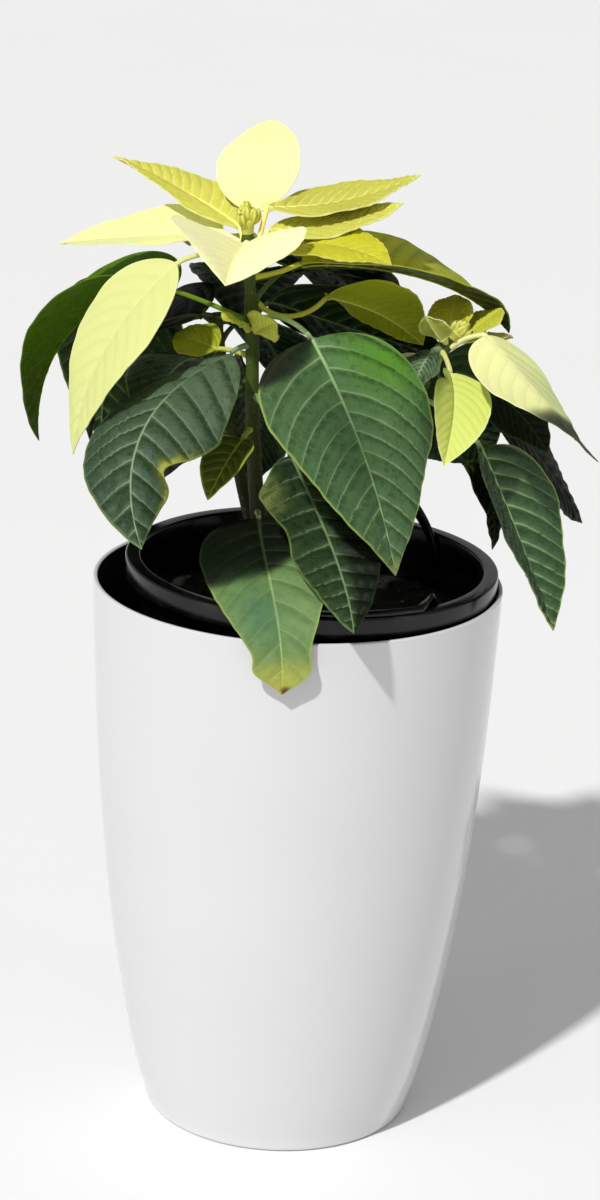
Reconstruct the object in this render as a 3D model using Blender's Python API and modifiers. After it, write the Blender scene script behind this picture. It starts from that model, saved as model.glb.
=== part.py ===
"""Potted poinsettia: a glossy white planter with a black insert pot and its two strap handles,
soil, branching stems, two flower clusters, and leaves and bracts that are each one thin
lofted blade on its own stalk. The origin is the middle of the planter's foot, +Z is up and
the plant's front faces -Y."""

import math

import bmesh
import bpy
import numpy as np
from mathutils import Euler, Matrix, Vector

MM = 0.001

# Running clearance between pieces that touch or rest on each other, in millimetres
GAP = 0.3

# Planter: height, wall, floor and roundings, and the outer radius at shares of its height
PLANTER_HEIGHT = 277.8
PLANTER_WALL = 2.2
PLANTER_FLOOR = 4.0
PLANTER_FOOT_ROUND = 3.0
PLANTER_RIM_ROUND = 0.5
PLANTER_LEVELS = (0.12, 0.25, 0.4, 0.55, 0.7, 0.85)
PLANTER_OUTLINE = ((0.0, 66.2), (0.1, 74.1), (0.25, 82.2), (0.4, 88.4),
                   (0.55, 92.8), (0.7, 96.1), (0.85, 98.3), (1.0, 100.0))
TURN_STEPS = 48

# Insert pot, in its own leaning frame whose origin is the middle of its lip
LINER_PLACE = (6.4, 0.0, 287.7)
LINER_LEAN = 1.0
LINER_DEPTH = 282.4
LINER_LIP_RADIUS = 91.0
LINER_MOUTH_RADIUS = 85.0
LINER_FOOT_RADIUS = 60.0
LINER_SKIRT = 10.0
LINER_WALL = 1.4
LINER_LIP_ROUND = 1.2
LINER_WAIST = -40.0

# Strap handles of the insert pot: the arc that they span, their section, and how far the
# standing one rises; the folded one turns down inside the mouth over a share of its length
HANDLE_ARC = (39.0, 116.0)
HANDLE_THICK = 1.8
HANDLE_DEEP = 8.0
HANDLE_FLAT_DEEP = 5.4
HANDLE_RISE = 26.0
HANDLE_SEAT = -14.0
HANDLE_STEPS = 22
HANDLE_EDGE = 0.4
HANDLE_CLEAR = GAP + 0.3
FOLD_SEAT = -9.0
FOLD_STEP = 2.4
FOLD_SHARE = 0.2

# Soil surface below the lip, its unevenness and rings, and the hole that the stem stands in
SOIL_DROP = 28.0
SOIL_BUMP = 1.4
SOIL_RINGS = (13.0, 30.0, 48.0, 66.0)
HOLE_RADIUS = 5.3
HOLE_BOTTOM = 236.0
HOLE_DEPTH = 50.0

# Stems: points of each centreline and the radius at foot and top
STEMS = {
    "middle": dict(points=((-16, 2, 236.3), (-16, 2, 266), (-20, 2, 300), (-25, 1, 350),
                           (-27, 1, 400), (-31, 0, 447)), radius=(4.8, 2.5)),
    "right": dict(points=((-16, 2, 268), (-10, 7, 296), (2, 13, 322), (24, 16, 347),
                          (48, 16, 372), (69, 12, 398)), radius=(3.8, 2.6)),
    "back": dict(points=((-16, 2, 268), (-23, 12, 296), (-31, 25, 322), (-40, 42, 360),
                         (-46, 54, 396)), radius=(3.6, 2.4)),
}
STEM_STEPS = 4

# Blades: thickness at the edge and along the midrib, and the stalk's radius
BLADE_THICK = 0.8
MIDRIB_THICK = 1.7
STALK_RADIUS = 1.2
STALK_RINGS = 3
TIP_WIDTH = 0.9

# Outline of a blade: s**rise * (1 - s)**fall, and its rings and columns
OUTLINES = {
    "leaf": dict(rise=0.46, fall=0.92, rings=10, columns=4),
    "bract": dict(rise=0.66, fall=0.95, rings=9, columns=4),
    "young": dict(rise=0.60, fall=0.90, rings=6, columns=2),
}

# Every leaf and bract. turn is the compass direction from the stem (0 is +X, 90 is the back),
# stalk its length and stalk_pitch its pitch at both ends, size the blade's length and width,
# pitch the midrib's pitch at base and tip, late the power of the share by which it turns, sweep
# the change of direction on the way, roll the turn about the midrib at base and tip, fold the
# rise of each half at the midrib and curl how much of it is lost towards the edge. cuts are
# (side, place, spread, share of width).
BLADES = {
    "leaf_front": dict(
        stem="middle", height=406, turn=-51, stalk=44, stalk_pitch=(26, -27), size=(119, 89),
        pitch=(-41, -75), sweep=13, roll=(16, -8), fold=10, curl=16, cuts=((1, 0.5, 0.1, 0.06),)),
    "leaf_left": dict(
        stem="middle", height=393, turn=-151, stalk=9, stalk_pitch=(-2, -37), size=(137, 66),
        pitch=(-18, -42), sweep=88, roll=(6, -2), fold=-2, curl=32,
        cuts=((1, 0.64, 0.07, -0.4), (1, 0.45, 0.12, 0.12))),
    "leaf_low": dict(
        stem="middle", height=368, turn=-55, stalk=38, stalk_pitch=(-20, -49), size=(117, 49),
        pitch=(-41, -15), sweep=-32, roll=(-1, 14), fold=13, curl=4,
        cuts=((-1, 0.2, 0.09, 0.25), (-1, 0.42, 0.08, -0.15))),
    "leaf_rim": dict(
        stem="middle", height=311, turn=-87, stalk=18, stalk_pitch=(9, 5), size=(117, 61),
        pitch=(-8, -97), late=2.4, sweep=17, roll=(9, 21), fold=8, curl=5,
        cuts=((1, 0.93, 0.06, 0.8), (-1, 0.93, 0.06, 0.8))),
    "leaf_right": dict(
        stem="right", height=372, turn=-26, stalk=46, stalk_pitch=(-11, -47), size=(94, 64),
        pitch=(-60, -62), sweep=-14, roll=(3, -10), fold=21, curl=4),
    "leaf_right_dark": dict(
        stem="right", height=378, turn=21, stalk=39, stalk_pitch=(-5, -30), size=(90, 60),
        pitch=(-44, -56), sweep=11, roll=(23, 39), fold=7, curl=19),
    "leaf_right_under": dict(
        stem="right", height=384, turn=-8, stalk=22, stalk_pitch=(0, -20), size=(50, 38),
        pitch=(-25, -60), roll=(35, 35)),
    "leaf_right_thin": dict(
        stem="right", height=360, turn=-15, stalk=45, stalk_pitch=(-12, -37), size=(48, 16),
        pitch=(-37, -102), sweep=4, roll=(30, 30), outline="young"),
    "leaf_left_dark": dict(
        stem="middle", height=398, turn=138, stalk=32, stalk_pitch=(24, -11), size=(111, 72),
        pitch=(-8, -90), sweep=19, roll=(-20, -14), fold=13, curl=12),
    "leaf_far_left": dict(
        stem="middle", height=405, turn=149, stalk=44, stalk_pitch=(14, 7), size=(126, 74),
        pitch=(-1, -100), sweep=28, roll=(0, -12), fold=24, curl=1),
    "leaf_arch": dict(
        stem="middle", height=426, turn=8, stalk=23, stalk_pitch=(8, 29), size=(134, 53),
        pitch=(3, -42), sweep=46, roll=(6, 15), fold=26, curl=13),
    "leaf_olive": dict(
        stem="middle", height=412, turn=17, stalk=39, stalk_pitch=(-42, 57), size=(58, 47),
        pitch=(-11, -45), sweep=8, roll=(-18, -53), fold=16, curl=5),
    "leaf_grey": dict(
        stem="right", height=392, turn=-125, stalk=6, stalk_pitch=(10, 0), size=(24, 20),
        pitch=(-25, -75), fold=8, outline="young"),
    "leaf_small_low": dict(
        stem="middle", height=352, turn=-111, stalk=9, stalk_pitch=(-2, -33), size=(41, 25),
        pitch=(-14, -52), sweep=-11, roll=(-3, -5), fold=30, curl=14, outline="young"),
    "shoot_left": dict(
        stem="middle", height=388, turn=159, stalk=15, stalk_pitch=(14, -6), size=(25, 27),
        pitch=(18, -1), sweep=-22, roll=(-20, -28), fold=11, curl=15, outline="young"),
    "shoot_mid": dict(
        stem="middle", height=402, turn=-125, stalk=5, stalk_pitch=(40, 40), size=(16, 15),
        pitch=(35, -5), roll=(-14, -17), outline="young"),
    "shoot_right": dict(
        stem="middle", height=402, turn=-73, stalk=6, stalk_pitch=(7, 6), size=(26, 19),
        pitch=(26, 16), sweep=11, roll=(-47, -56), fold=7, curl=20, outline="young"),
    "leaf_back_right": dict(
        stem="middle", height=414, turn=58, stalk=34, stalk_pitch=(35, 5), size=(112, 66),
        pitch=(0, -70)),
    "leaf_back_middle": dict(
        stem="middle", height=404, turn=93, stalk=40, stalk_pitch=(35, 0), size=(100, 60),
        pitch=(5, -60)),
    "leaf_back_top": dict(
        stem="back", height=384, turn=60, stalk=18, stalk_pitch=(35, 5), size=(74, 46),
        pitch=(-15, -75)),
    "leaf_back_left": dict(
        stem="back", height=366, turn=118, stalk=24, stalk_pitch=(30, 0), size=(84, 50),
        pitch=(-10, -75)),
    "leaf_back_low": dict(
        stem="back", height=356, turn=30, stalk=24, stalk_pitch=(20, -10), size=(72, 52),
        pitch=(0, -50)),
    "leaf_side_right": dict(
        stem="right", height=362, turn=80, stalk=28, stalk_pitch=(10, -10), size=(92, 54),
        pitch=(-15, -75)),
    "leaf_side_left": dict(
        stem="middle", height=340, turn=128, stalk=30, stalk_pitch=(20, -10), size=(90, 54),
        pitch=(-20, -60)),
    "leaf_back_wide": dict(
        stem="back", height=391.5, turn=5, stalk=27, stalk_pitch=(1, 55), size=(98, 66),
        pitch=(-18, -17), sweep=5, roll=(-35, -35)),
    "leaf_back_inner": dict(
        stem="back", height=356, turn=70, stalk=26, stalk_pitch=(0, 33), size=(64, 68),
        pitch=(-55, -109), sweep=26, roll=(51, 51)),
    "leaf_back_far_left": dict(
        stem="back", height=391.5, turn=128, stalk=61, stalk_pitch=(12, -4), size=(97, 66),
        pitch=(-42, -94), roll=(41, 41)),
    "leaf_side_under": dict(
        stem="right", height=366, turn=52, stalk=35, stalk_pitch=(-22, 58), size=(68, 66),
        pitch=(-49, -55), sweep=-23, roll=(97, 97)),
    "bract_hanging": dict(
        stem="middle", height=436, turn=-163, stalk=33, stalk_pitch=(19, -27), size=(107, 50),
        pitch=(-39, -87), sweep=-13, roll=(-33, -16), fold=10, curl=15, outline="bract"),
    "bract_top_back": dict(
        stem="middle", height=439, turn=84, stalk=18, stalk_pitch=(66, 52), size=(58, 42),
        pitch=(72, 14), sweep=-3, roll=(-11, -13), fold=10, curl=16, outline="bract"),
    "bract_top_left_upper": dict(
        stem="middle", height=445, turn=124, stalk=5, stalk_pitch=(58, 52), size=(90, 33),
        pitch=(13, 14), sweep=31, roll=(-16, 8), fold=22, curl=17, outline="bract"),
    "bract_top_left": dict(
        stem="middle", height=442, turn=153, stalk=11, stalk_pitch=(25, 16), size=(96, 44),
        pitch=(-8, -14), sweep=-4, roll=(-21, -12), fold=19, curl=9, outline="bract"),
    "bract_top_front": dict(
        stem="middle", height=443, turn=-99, stalk=4, stalk_pitch=(12, 5), size=(70, 70),
        pitch=(3, -11), sweep=7, roll=(4, -15), fold=35, curl=19, outline="bract"),
    "bract_top_right_upper": dict(
        stem="middle", height=438, turn=16, stalk=22, stalk_pitch=(82, 74), size=(76, 40),
        pitch=(-2, 26), sweep=-8, roll=(10, 4), outline="bract", cuts=((1, 0.1, 0.12, -0.45),)),
    "bract_top_right": dict(
        stem="middle", height=431, turn=-3, stalk=19, stalk_pitch=(80, 72), size=(65, 40),
        pitch=(5, 21), sweep=13, roll=(9, 5), fold=9, curl=17, outline="bract"),
    "bract_top_shaded": dict(
        stem="middle", height=441, turn=-33, stalk=22, stalk_pitch=(16, 5), size=(54, 42),
        pitch=(18, -22), sweep=9, roll=(8, 10), fold=10, outline="bract"),
    "bract_top_rear_right": dict(
        stem="middle", height=431, turn=62, stalk=9, stalk_pitch=(20, 10), size=(70, 34),
        pitch=(5, -20), outline="bract"),
    "bract_top_rear_left": dict(
        stem="middle", height=434, turn=112, stalk=9, stalk_pitch=(25, 10), size=(74, 36),
        pitch=(5, -25), outline="bract"),
    "bract_right_long": dict(
        stem="right", height=397, turn=-49, stalk=25, stalk_pitch=(37, 10), size=(90, 49),
        pitch=(-29, -28), sweep=-2, roll=(-1, -34), fold=-16, curl=-10,
        cuts=((-1, 0.8, 0.17, -0.6), (1, 0.8, 0.2, -0.3), (-1, 0.45, 0.15, 0.2))),
    "bract_right_hanging": dict(
        stem="right", height=392, turn=-77, stalk=18, stalk_pitch=(-5, -34), size=(54, 35),
        pitch=(-22, -60), sweep=-36, roll=(-24, -34), fold=34, curl=10, outline="bract",
        cuts=((-1, 0.2, 0.09, -0.45),)),
    "bract_right_small": dict(
        stem="right", height=396, turn=-135, stalk=3, stalk_pitch=(40, 44), size=(17, 18),
        pitch=(42, 51), sweep=-7, roll=(18, 24), fold=9, curl=17, outline="young"),
    "bract_right_olive": dict(
        stem="right", height=395, turn=82, stalk=4, stalk_pitch=(55, 58), size=(24, 23),
        pitch=(62, 22), roll=(-10, -10), fold=16, curl=9, outline="bract"),
    "bract_right_olive_far": dict(
        stem="right", height=397, turn=26, stalk=5, stalk_pitch=(35, 23), size=(25, 30),
        pitch=(40, 21), sweep=17, roll=(-6, -10), fold=11, curl=15, outline="bract"),
    "bract_right_rear": dict(
        stem="right", height=392, turn=58, stalk=8, stalk_pitch=(20, 5), size=(54, 34),
        pitch=(8, -25), outline="bract"),
    "bract_right_rear_left": dict(
        stem="right", height=384, turn=100, stalk=8, stalk_pitch=(20, 5), size=(46, 26),
        pitch=(-15, -45), outline="bract"),
}

# Flower clusters: their stem, count of buds, spread and height, then the size of one bud
CLUSTERS = {
    "cyathia_top": dict(stem="middle", buds=9, spread=5.0, tall=17.0),
    "cyathia_right": dict(stem="right", buds=6, spread=3.8, tall=11.0),
}
BUD_RADIUS = 2.1
BUD_LENGTH = 7.0
BUD_LEAN = 0.08
GOLDEN_TURN = 137.5
# The dome under the buds: its radius at foot and top, and its share of the cluster's height
DOME_RADIUS = (2.7, 4.4)
DOME_SHARE = 0.4
# Share of the cluster's height at which the middle bud sits, and its drop towards the outside
BUD_SEAT = 0.72
BUD_DROP = 0.30

COLOURS = {
    "planter": ((0.86, 0.87, 0.88), 0.12),
    "liner": ((0.012, 0.012, 0.013), 0.30),
    "handle": ((0.014, 0.014, 0.015), 0.28),
    "soil": ((0.020, 0.014, 0.010), 0.95),
    "stems": ((0.10, 0.14, 0.045), 0.60),
    "cyathia": ((0.36, 0.42, 0.05), 0.50),
    "leaf": ((0.035, 0.10, 0.035), 0.42),
    "shoot": ((0.16, 0.24, 0.03), 0.45),
    "bract": ((0.76, 0.78, 0.36), 0.50),
}


def clear_scene():
    """Remove whatever the scene holds."""
    for item in list(bpy.data.objects):
        bpy.data.objects.remove(item)


def new_collection(name):
    """A collection linked to the scene."""
    group = bpy.data.collections.new(name)
    bpy.context.scene.collection.children.link(group)
    return group


def surface(name):
    """The Principled material of the named piece, by the kind that its name starts with."""
    kind = next(word for word in COLOURS if name.startswith(word))
    colour, roughness = COLOURS[kind]
    material = bpy.data.materials.new(name + "_surface")
    material.use_nodes = True
    shader = material.node_tree.nodes["Principled BSDF"]
    shader.inputs["Base Color"].default_value = (*colour, 1.0)
    shader.inputs["Roughness"].default_value = roughness
    shader.inputs["Metallic"].default_value = 0.0
    material.diffuse_color = (*colour, 1.0)
    return material


def place(name, mesh, group):
    """An object of the named mesh in the group, with its own material."""
    piece = bpy.data.objects.new(name, mesh)
    group.objects.link(piece)
    mesh.materials.append(surface(name))
    return piece


def soften(mesh, angle):
    """Shade smooth, with edges sharper than the angle left crisp."""
    mesh.shade_smooth()
    mesh.set_sharp_from_angle(angle=math.radians(angle))


def catmull_rom(points, steps):
    """A smooth line through the points, with the given steps from each to the next."""
    line = np.array(points, dtype=float)
    line = np.vstack([2 * line[0] - line[1], line, 2 * line[-1] - line[-2]])
    shares = (np.arange(steps) / steps)[:, None]
    runs = []
    for a, b, c, d in zip(line[:-3], line[1:-2], line[2:-1], line[3:]):
        linear = (c - a) * shares
        square = (2 * a - 5 * b + 4 * c - d) * shares ** 2
        cube = (3 * b - a - 3 * c + d) * shares ** 3
        runs.append(0.5 * (2 * b + linear + square + cube))
    runs.append(line[-2][None])
    return np.vstack(runs)


def turned(name, profile, group, steps=TURN_STEPS):
    """A body turned about Z from (radius, height) points in millimetres, which start on the
    axis, run up the inner side, over the rim and down the outer side."""
    mesh = bpy.data.meshes.new(name)
    corners = [(radius * MM, 0.0, height * MM) for radius, height in profile]
    mesh.from_pydata(corners, [(i, i + 1) for i in range(len(corners) - 1)], [])
    piece = place(name, mesh, group)
    turn = piece.modifiers.new("turn", "SCREW")
    turn.axis = "Z"
    turn.angle = 2 * math.pi
    turn.steps = steps
    turn.render_steps = steps
    turn.use_merge_vertices = True
    turn.merge_threshold = 0.00005
    turn.use_smooth_shade = True
    return piece


def planter_radius(height):
    """Outer radius of the planter at a height."""
    shares, radii = zip(*PLANTER_OUTLINE)
    line = catmull_rom(list(zip(shares, radii)), 8)
    return float(np.interp(height / PLANTER_HEIGHT, line[:, 0], line[:, 1]))


def build_planter(group):
    """The outer pot: a tapered wall with a rounded foot and a thin flat rim."""
    foot = planter_radius(PLANTER_FOOT_ROUND)
    outer = [(planter_radius(PLANTER_HEIGHT * share), PLANTER_HEIGHT * share) for share in PLANTER_LEVELS]
    inner = [(radius - PLANTER_WALL, height) for radius, height in outer]
    rim = planter_radius(PLANTER_HEIGHT)
    profile = [(0.0, PLANTER_FLOOR), (planter_radius(PLANTER_FLOOR) - PLANTER_WALL, PLANTER_FLOOR)]
    profile += inner
    below_rim = PLANTER_HEIGHT - PLANTER_RIM_ROUND
    profile += [(rim - PLANTER_WALL, below_rim), (rim - PLANTER_WALL + PLANTER_RIM_ROUND, PLANTER_HEIGHT)]
    profile += [(rim - PLANTER_RIM_ROUND, PLANTER_HEIGHT), (rim, below_rim)]
    profile += reversed(outer)
    for turn in (0, 45, 90):
        angle = math.radians(turn)
        radius = foot - PLANTER_FOOT_ROUND * (1 - math.cos(angle))
        profile.append((radius, PLANTER_FOOT_ROUND * (1 - math.sin(angle))))
    profile.append((0.0, 0.0))
    return turned("planter", profile, group)


def build_lean(group):
    """The empty that carries the insert pot, its handles and the soil, leaning a little."""
    lean = bpy.data.objects.new("lean", None)
    group.objects.link(lean)
    lean.location = [value * MM for value in LINER_PLACE]
    lean.rotation_euler = Euler((0.0, math.radians(LINER_LEAN), 0.0))
    return lean


def liner_outer(height):
    """Outer radius of the insert pot's body at a height below its lip."""
    share = -height / LINER_DEPTH
    return LINER_MOUTH_RADIUS + (LINER_FOOT_RADIUS - LINER_MOUTH_RADIUS) * share


def liner_inner(height):
    """Inner radius of the insert pot's body at a height below its lip."""
    return liner_outer(height) - LINER_WALL


def build_liner(lean, group):
    """The insert pot: a tapered body with a flat lip and a short skirt hanging from it."""
    floor = -LINER_DEPTH + LINER_WALL
    skirt_inner = LINER_LIP_RADIUS - LINER_WALL
    shoulder = -LINER_LIP_ROUND
    profile = [(0.0, floor), (liner_inner(floor), floor), (liner_inner(LINER_WAIST), LINER_WAIST)]
    profile += [(liner_inner(shoulder), shoulder), (liner_inner(0.0) + LINER_LIP_ROUND, 0.0)]
    profile += [(LINER_LIP_RADIUS - LINER_LIP_ROUND, 0.0), (LINER_LIP_RADIUS, shoulder)]
    profile += [(LINER_LIP_RADIUS, -LINER_SKIRT), (skirt_inner, -LINER_SKIRT)]
    profile += [(skirt_inner, -LINER_WALL), (liner_outer(-LINER_WALL) + 0.2, -LINER_WALL)]
    profile += [(liner_outer(LINER_WAIST), LINER_WAIST), (LINER_FOOT_RADIUS, -LINER_DEPTH)]
    profile += [(0.0, -LINER_DEPTH)]
    piece = turned("liner", profile, group)
    piece.parent = lean
    return piece


def strap(name, route, lean, group):
    """A strap from a strip of quads: route gives the two edges of the strip at each share."""
    mesh = bpy.data.meshes.new(name)
    body = bmesh.new()
    bmesh.ops.create_grid(body, x_segments=HANDLE_STEPS, y_segments=1, size=0.5)
    for corner in body.verts:
        corner.co = Vector(route(corner.co.x + 0.5, corner.co.y > 0)) * MM
    body.to_mesh(mesh)
    body.free()
    piece = place(name, mesh, group)
    piece.parent = lean
    solid = piece.modifiers.new("thickness", "SOLIDIFY")
    solid.thickness = HANDLE_THICK * MM
    solid.offset = 0.0
    edge = piece.modifiers.new("edge", "BEVEL")
    edge.width = HANDLE_EDGE * MM
    edge.segments = 1
    edge.limit_method = "ANGLE"
    edge.angle_limit = math.radians(60)
    return piece


def on_circle(radius, degrees, height):
    """A point at a radius, compass direction and height."""
    angle = math.radians(degrees)
    return (radius * math.cos(angle), radius * math.sin(angle), height)


def raised_route(share, upper):
    """The standing handle: an arch that springs from inside the mouth and rises above it."""
    degrees = HANDLE_ARC[0] + (HANDLE_ARC[1] - HANDLE_ARC[0]) * share
    arch = math.sin(math.pi * share) ** 0.7
    height = HANDLE_SEAT + (HANDLE_RISE - HANDLE_SEAT) * arch
    height += HANDLE_DEEP / 2 if upper else -HANDLE_DEEP / 2
    below = min(height, 0.0)
    radius = liner_inner(below) - HANDLE_CLEAR - HANDLE_THICK / 2
    return on_circle(radius, degrees, height)


def folded_route(share, outer):
    """The folded handle: it lies flat on the lip and turns down inside the mouth at its ends."""
    degrees = -HANDLE_ARC[0] - (HANDLE_ARC[1] - HANDLE_ARC[0]) * share
    inward = min(share, 1.0 - share) / FOLD_SHARE
    climb = min(1.0, inward / 0.5)
    slide = min(1.0, max(0.0, (inward - 0.5) / 0.5))
    turn = math.radians(90 * (1.0 - 0.5 * climb - 0.5 * slide))
    flat = (LINER_MOUTH_RADIUS + LINER_LIP_RADIUS) / 2 - 0.2
    upright = liner_inner(FOLD_SEAT) - HANDLE_CLEAR - HANDLE_THICK / 2
    lying = GAP + HANDLE_THICK / 2
    radius = upright + (flat - upright) * slide
    height = FOLD_SEAT + (lying + FOLD_STEP - FOLD_SEAT) * climb - FOLD_STEP * slide
    half = HANDLE_FLAT_DEEP / 2 if outer else -HANDLE_FLAT_DEEP / 2
    return on_circle(radius + half * math.cos(turn), degrees, height + half * math.sin(turn))


def soil_height(x, y):
    """Unevenness of the soil surface at a place, in millimetres."""
    wave = math.sin(0.21 * x + 1.0) * math.cos(0.17 * y) + 0.6 * math.sin(0.38 * y + 0.13 * x)
    return SOIL_BUMP * wave


def build_soil(lean, group, cutters):
    """The soil: it fills the insert pot, with an uneven top and a plain hole for the stem."""
    floor = -LINER_DEPTH + LINER_WALL + GAP
    top = -SOIL_DROP
    edge = liner_inner(top) - GAP
    profile = [(0.0, top)] + [(radius, top) for radius in SOIL_RINGS]
    profile += [(edge, top), (liner_inner(floor) - GAP, floor), (0.0, floor)]
    rough = turned("soil_rough", profile, group)
    mesh = evaluated_mesh(rough, "soil")
    bpy.data.objects.remove(rough)
    for corner in mesh.vertices:
        if corner.co.z > (top - 1.0) * MM and corner.co.xy.length < (edge - 1.0) * MM:
            corner.co.z += soil_height(corner.co.x / MM, corner.co.y / MM) * MM
    soften(mesh, 40)
    piece = bpy.data.objects.new("soil", mesh)
    group.objects.link(piece)
    mesh.materials.clear()
    mesh.materials.append(surface("soil"))
    piece.parent = lean
    hole = piece.modifiers.new("stem_hole", "BOOLEAN")
    hole.operation = "DIFFERENCE"
    hole.object = build_hole(cutters)
    return piece


def build_hole(cutters):
    """The cutter of the stem's hole, a plain upright cylinder."""
    foot = STEMS["middle"]["points"][0]
    height = HOLE_DEPTH * MM
    mesh = bpy.data.meshes.new("hole")
    body = bmesh.new()
    bmesh.ops.create_cone(body, cap_ends=True, segments=16, radius1=HOLE_RADIUS * MM,
                          radius2=HOLE_RADIUS * MM, depth=height)
    body.to_mesh(mesh)
    body.free()
    cutter = bpy.data.objects.new("hole", mesh)
    cutters.objects.link(cutter)
    cutter.location = (foot[0] * MM, foot[1] * MM, HOLE_BOTTOM * MM + height / 2)
    cutter.hide_render = True
    cutter.display_type = "WIRE"
    return cutter


def evaluated_mesh(piece, name):
    """The piece's mesh with its modifiers applied, as a new mesh."""
    bpy.context.view_layer.update()
    graph = bpy.context.evaluated_depsgraph_get()
    mesh = bpy.data.meshes.new_from_object(piece.evaluated_get(graph))
    mesh.name = name
    return mesh


def stem_line(stem):
    """Centreline of a stem and its radius at each point."""
    line = catmull_rom(STEMS[stem]["points"], STEM_STEPS)
    foot, top = STEMS[stem]["radius"]
    return line, np.linspace(foot, top, len(line))


def tube(name, line, radii, group):
    """A tube mesh along a line, with a radius at each point."""
    curve = bpy.data.curves.new(name, "CURVE")
    curve.dimensions = "3D"
    curve.bevel_depth = MM
    curve.bevel_resolution = 2
    curve.use_fill_caps = True
    route = curve.splines.new("POLY")
    route.points.add(len(line) - 1)
    for point, place_mm, radius in zip(route.points, line, radii):
        point.co = (*(place_mm * MM), 1.0)
        point.radius = radius
    wire = bpy.data.objects.new(name, curve)
    group.objects.link(wire)
    mesh = evaluated_mesh(wire, name)
    bpy.data.objects.remove(wire)
    body = bmesh.new()
    body.from_mesh(mesh)
    bmesh.ops.remove_doubles(body, verts=body.verts, dist=0.00001)
    body.to_mesh(mesh)
    body.free()
    return mesh


def join_repeats(name, base, meshes, group):
    """One solid from a base mesh and the meshes that grow out of it."""
    repeats = new_collection(name + "_repeats")
    for number, mesh in enumerate(meshes):
        repeats.objects.link(bpy.data.objects.new(f"{name}_{number}", mesh))
    rough = bpy.data.objects.new(name + "_rough", base)
    group.objects.link(rough)
    union = rough.modifiers.new("union", "BOOLEAN")
    union.operation = "UNION"
    union.operand_type = "COLLECTION"
    union.collection = repeats
    union.solver = "MANIFOLD"
    mesh = evaluated_mesh(rough, name)
    for item in [rough, *repeats.objects]:
        bpy.data.objects.remove(item)
    bpy.data.collections.remove(repeats)
    mesh.materials.clear()
    soften(mesh, 45)
    return place(name, mesh, group)


def build_stems(group):
    """The woody stems: the middle one from the soil to the top, and two that fork off it."""
    tubes = {stem: tube(stem, *stem_line(stem), group) for stem in STEMS}
    base = tubes.pop("middle")
    return join_repeats("stems", base, list(tubes.values()), group)


def bud_mesh(name, centre, lean):
    """One egg-shaped bud that leans outward."""
    mesh = bpy.data.meshes.new(name)
    body = bmesh.new()
    bmesh.ops.create_uvsphere(body, u_segments=8, v_segments=5, radius=1.0)
    axis = Vector(lean).normalized()
    turn = Vector((0.0, 0.0, 1.0)).rotation_difference(axis).to_matrix().to_4x4()
    stretch = Matrix.Diagonal((BUD_RADIUS * MM, BUD_RADIUS * MM, BUD_LENGTH / 2 * MM, 1.0))
    body.transform(Matrix.Translation(Vector(centre) * MM) @ turn @ stretch)
    body.to_mesh(mesh)
    body.free()
    return mesh


def build_cluster(name, stem, buds, spread, tall, group):
    """A flower cluster: egg-shaped buds in a spiral on a small dome above the stem's end."""
    line, _ = stem_line(stem)
    end = Vector(line[-1])
    axis = Vector(line[-1] - line[-2]).normalized()
    up = Vector((0.0, 0.0, 1.0)).rotation_difference(axis)
    seat = end + axis * GAP
    body = bmesh.new()
    foot, top = DOME_RADIUS
    depth = tall * DOME_SHARE
    bmesh.ops.create_cone(body, cap_ends=True, segments=10, radius1=foot * MM, radius2=top * MM,
                          depth=depth * MM)
    body.transform(Matrix.Translation((seat + axis * depth / 2) * MM) @ up.to_matrix().to_4x4())
    base = bpy.data.meshes.new(name)
    body.to_mesh(base)
    body.free()
    meshes = []
    for number in range(buds):
        share = math.sqrt(number / buds)
        angle = math.radians(GOLDEN_TURN * number)
        side = Vector((math.cos(angle), math.sin(angle), 0.0)) * spread * share
        height = tall * (BUD_SEAT - BUD_DROP * share)
        centre = seat + up @ (side + Vector((0.0, 0.0, height)))
        lean = up @ (side * BUD_LEAN + Vector((0.0, 0.0, 1.0)))
        meshes.append(bud_mesh(f"{name}_bud", centre, lean))
    return join_repeats(name, base, meshes, group)


def heading(turn, pitch):
    """Unit directions for compass turns and pitches in degrees."""
    turn, pitch = np.broadcast_arrays(np.radians(turn), np.radians(pitch))
    return np.stack([np.cos(pitch) * np.cos(turn), np.cos(pitch) * np.sin(turn), np.sin(pitch)], -1)


def attachment(stem, height, turn, rise):
    """Where a stalk with this direction starts, just off the stem's surface at a height."""
    line, radii = stem_line(stem)
    spot = np.array([np.interp(height, line[:, 2], line[:, k]) for k in range(3)])
    radius = float(np.interp(height, line[:, 2], radii))
    after = int(np.clip(np.searchsorted(line[:, 2], height), 1, len(line) - 1))
    along = line[after] - line[after - 1]
    along = along / np.linalg.norm(along)
    out = heading(turn, 0.0)
    out = out - (out @ along) * along
    out = out / np.linalg.norm(out)
    tilt = math.sqrt(max(0.0, 1.0 - float(heading(turn, rise) @ out) ** 2))
    return spot + out * (radius + GAP + STALK_RADIUS * tilt)


def frames(turn, pitch, roll):
    """Sideways and upward directions of a section, rolled about its line."""
    along = heading(turn, pitch)
    angle = np.radians(turn)
    side = np.stack([-np.sin(angle), np.cos(angle), 0 * angle], -1)
    up = np.cross(along, side)
    lean = np.radians(roll)[:, None]
    return side * np.cos(lean) + up * np.sin(lean), up * np.cos(lean) - side * np.sin(lean)


def follow(start, turn, pitch, length):
    """Points of a line from start, through equal runs with the given directions."""
    runs = heading(turn, pitch) * (length / len(pitch))
    return np.vstack([start, start + np.cumsum(runs, 0)])


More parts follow.
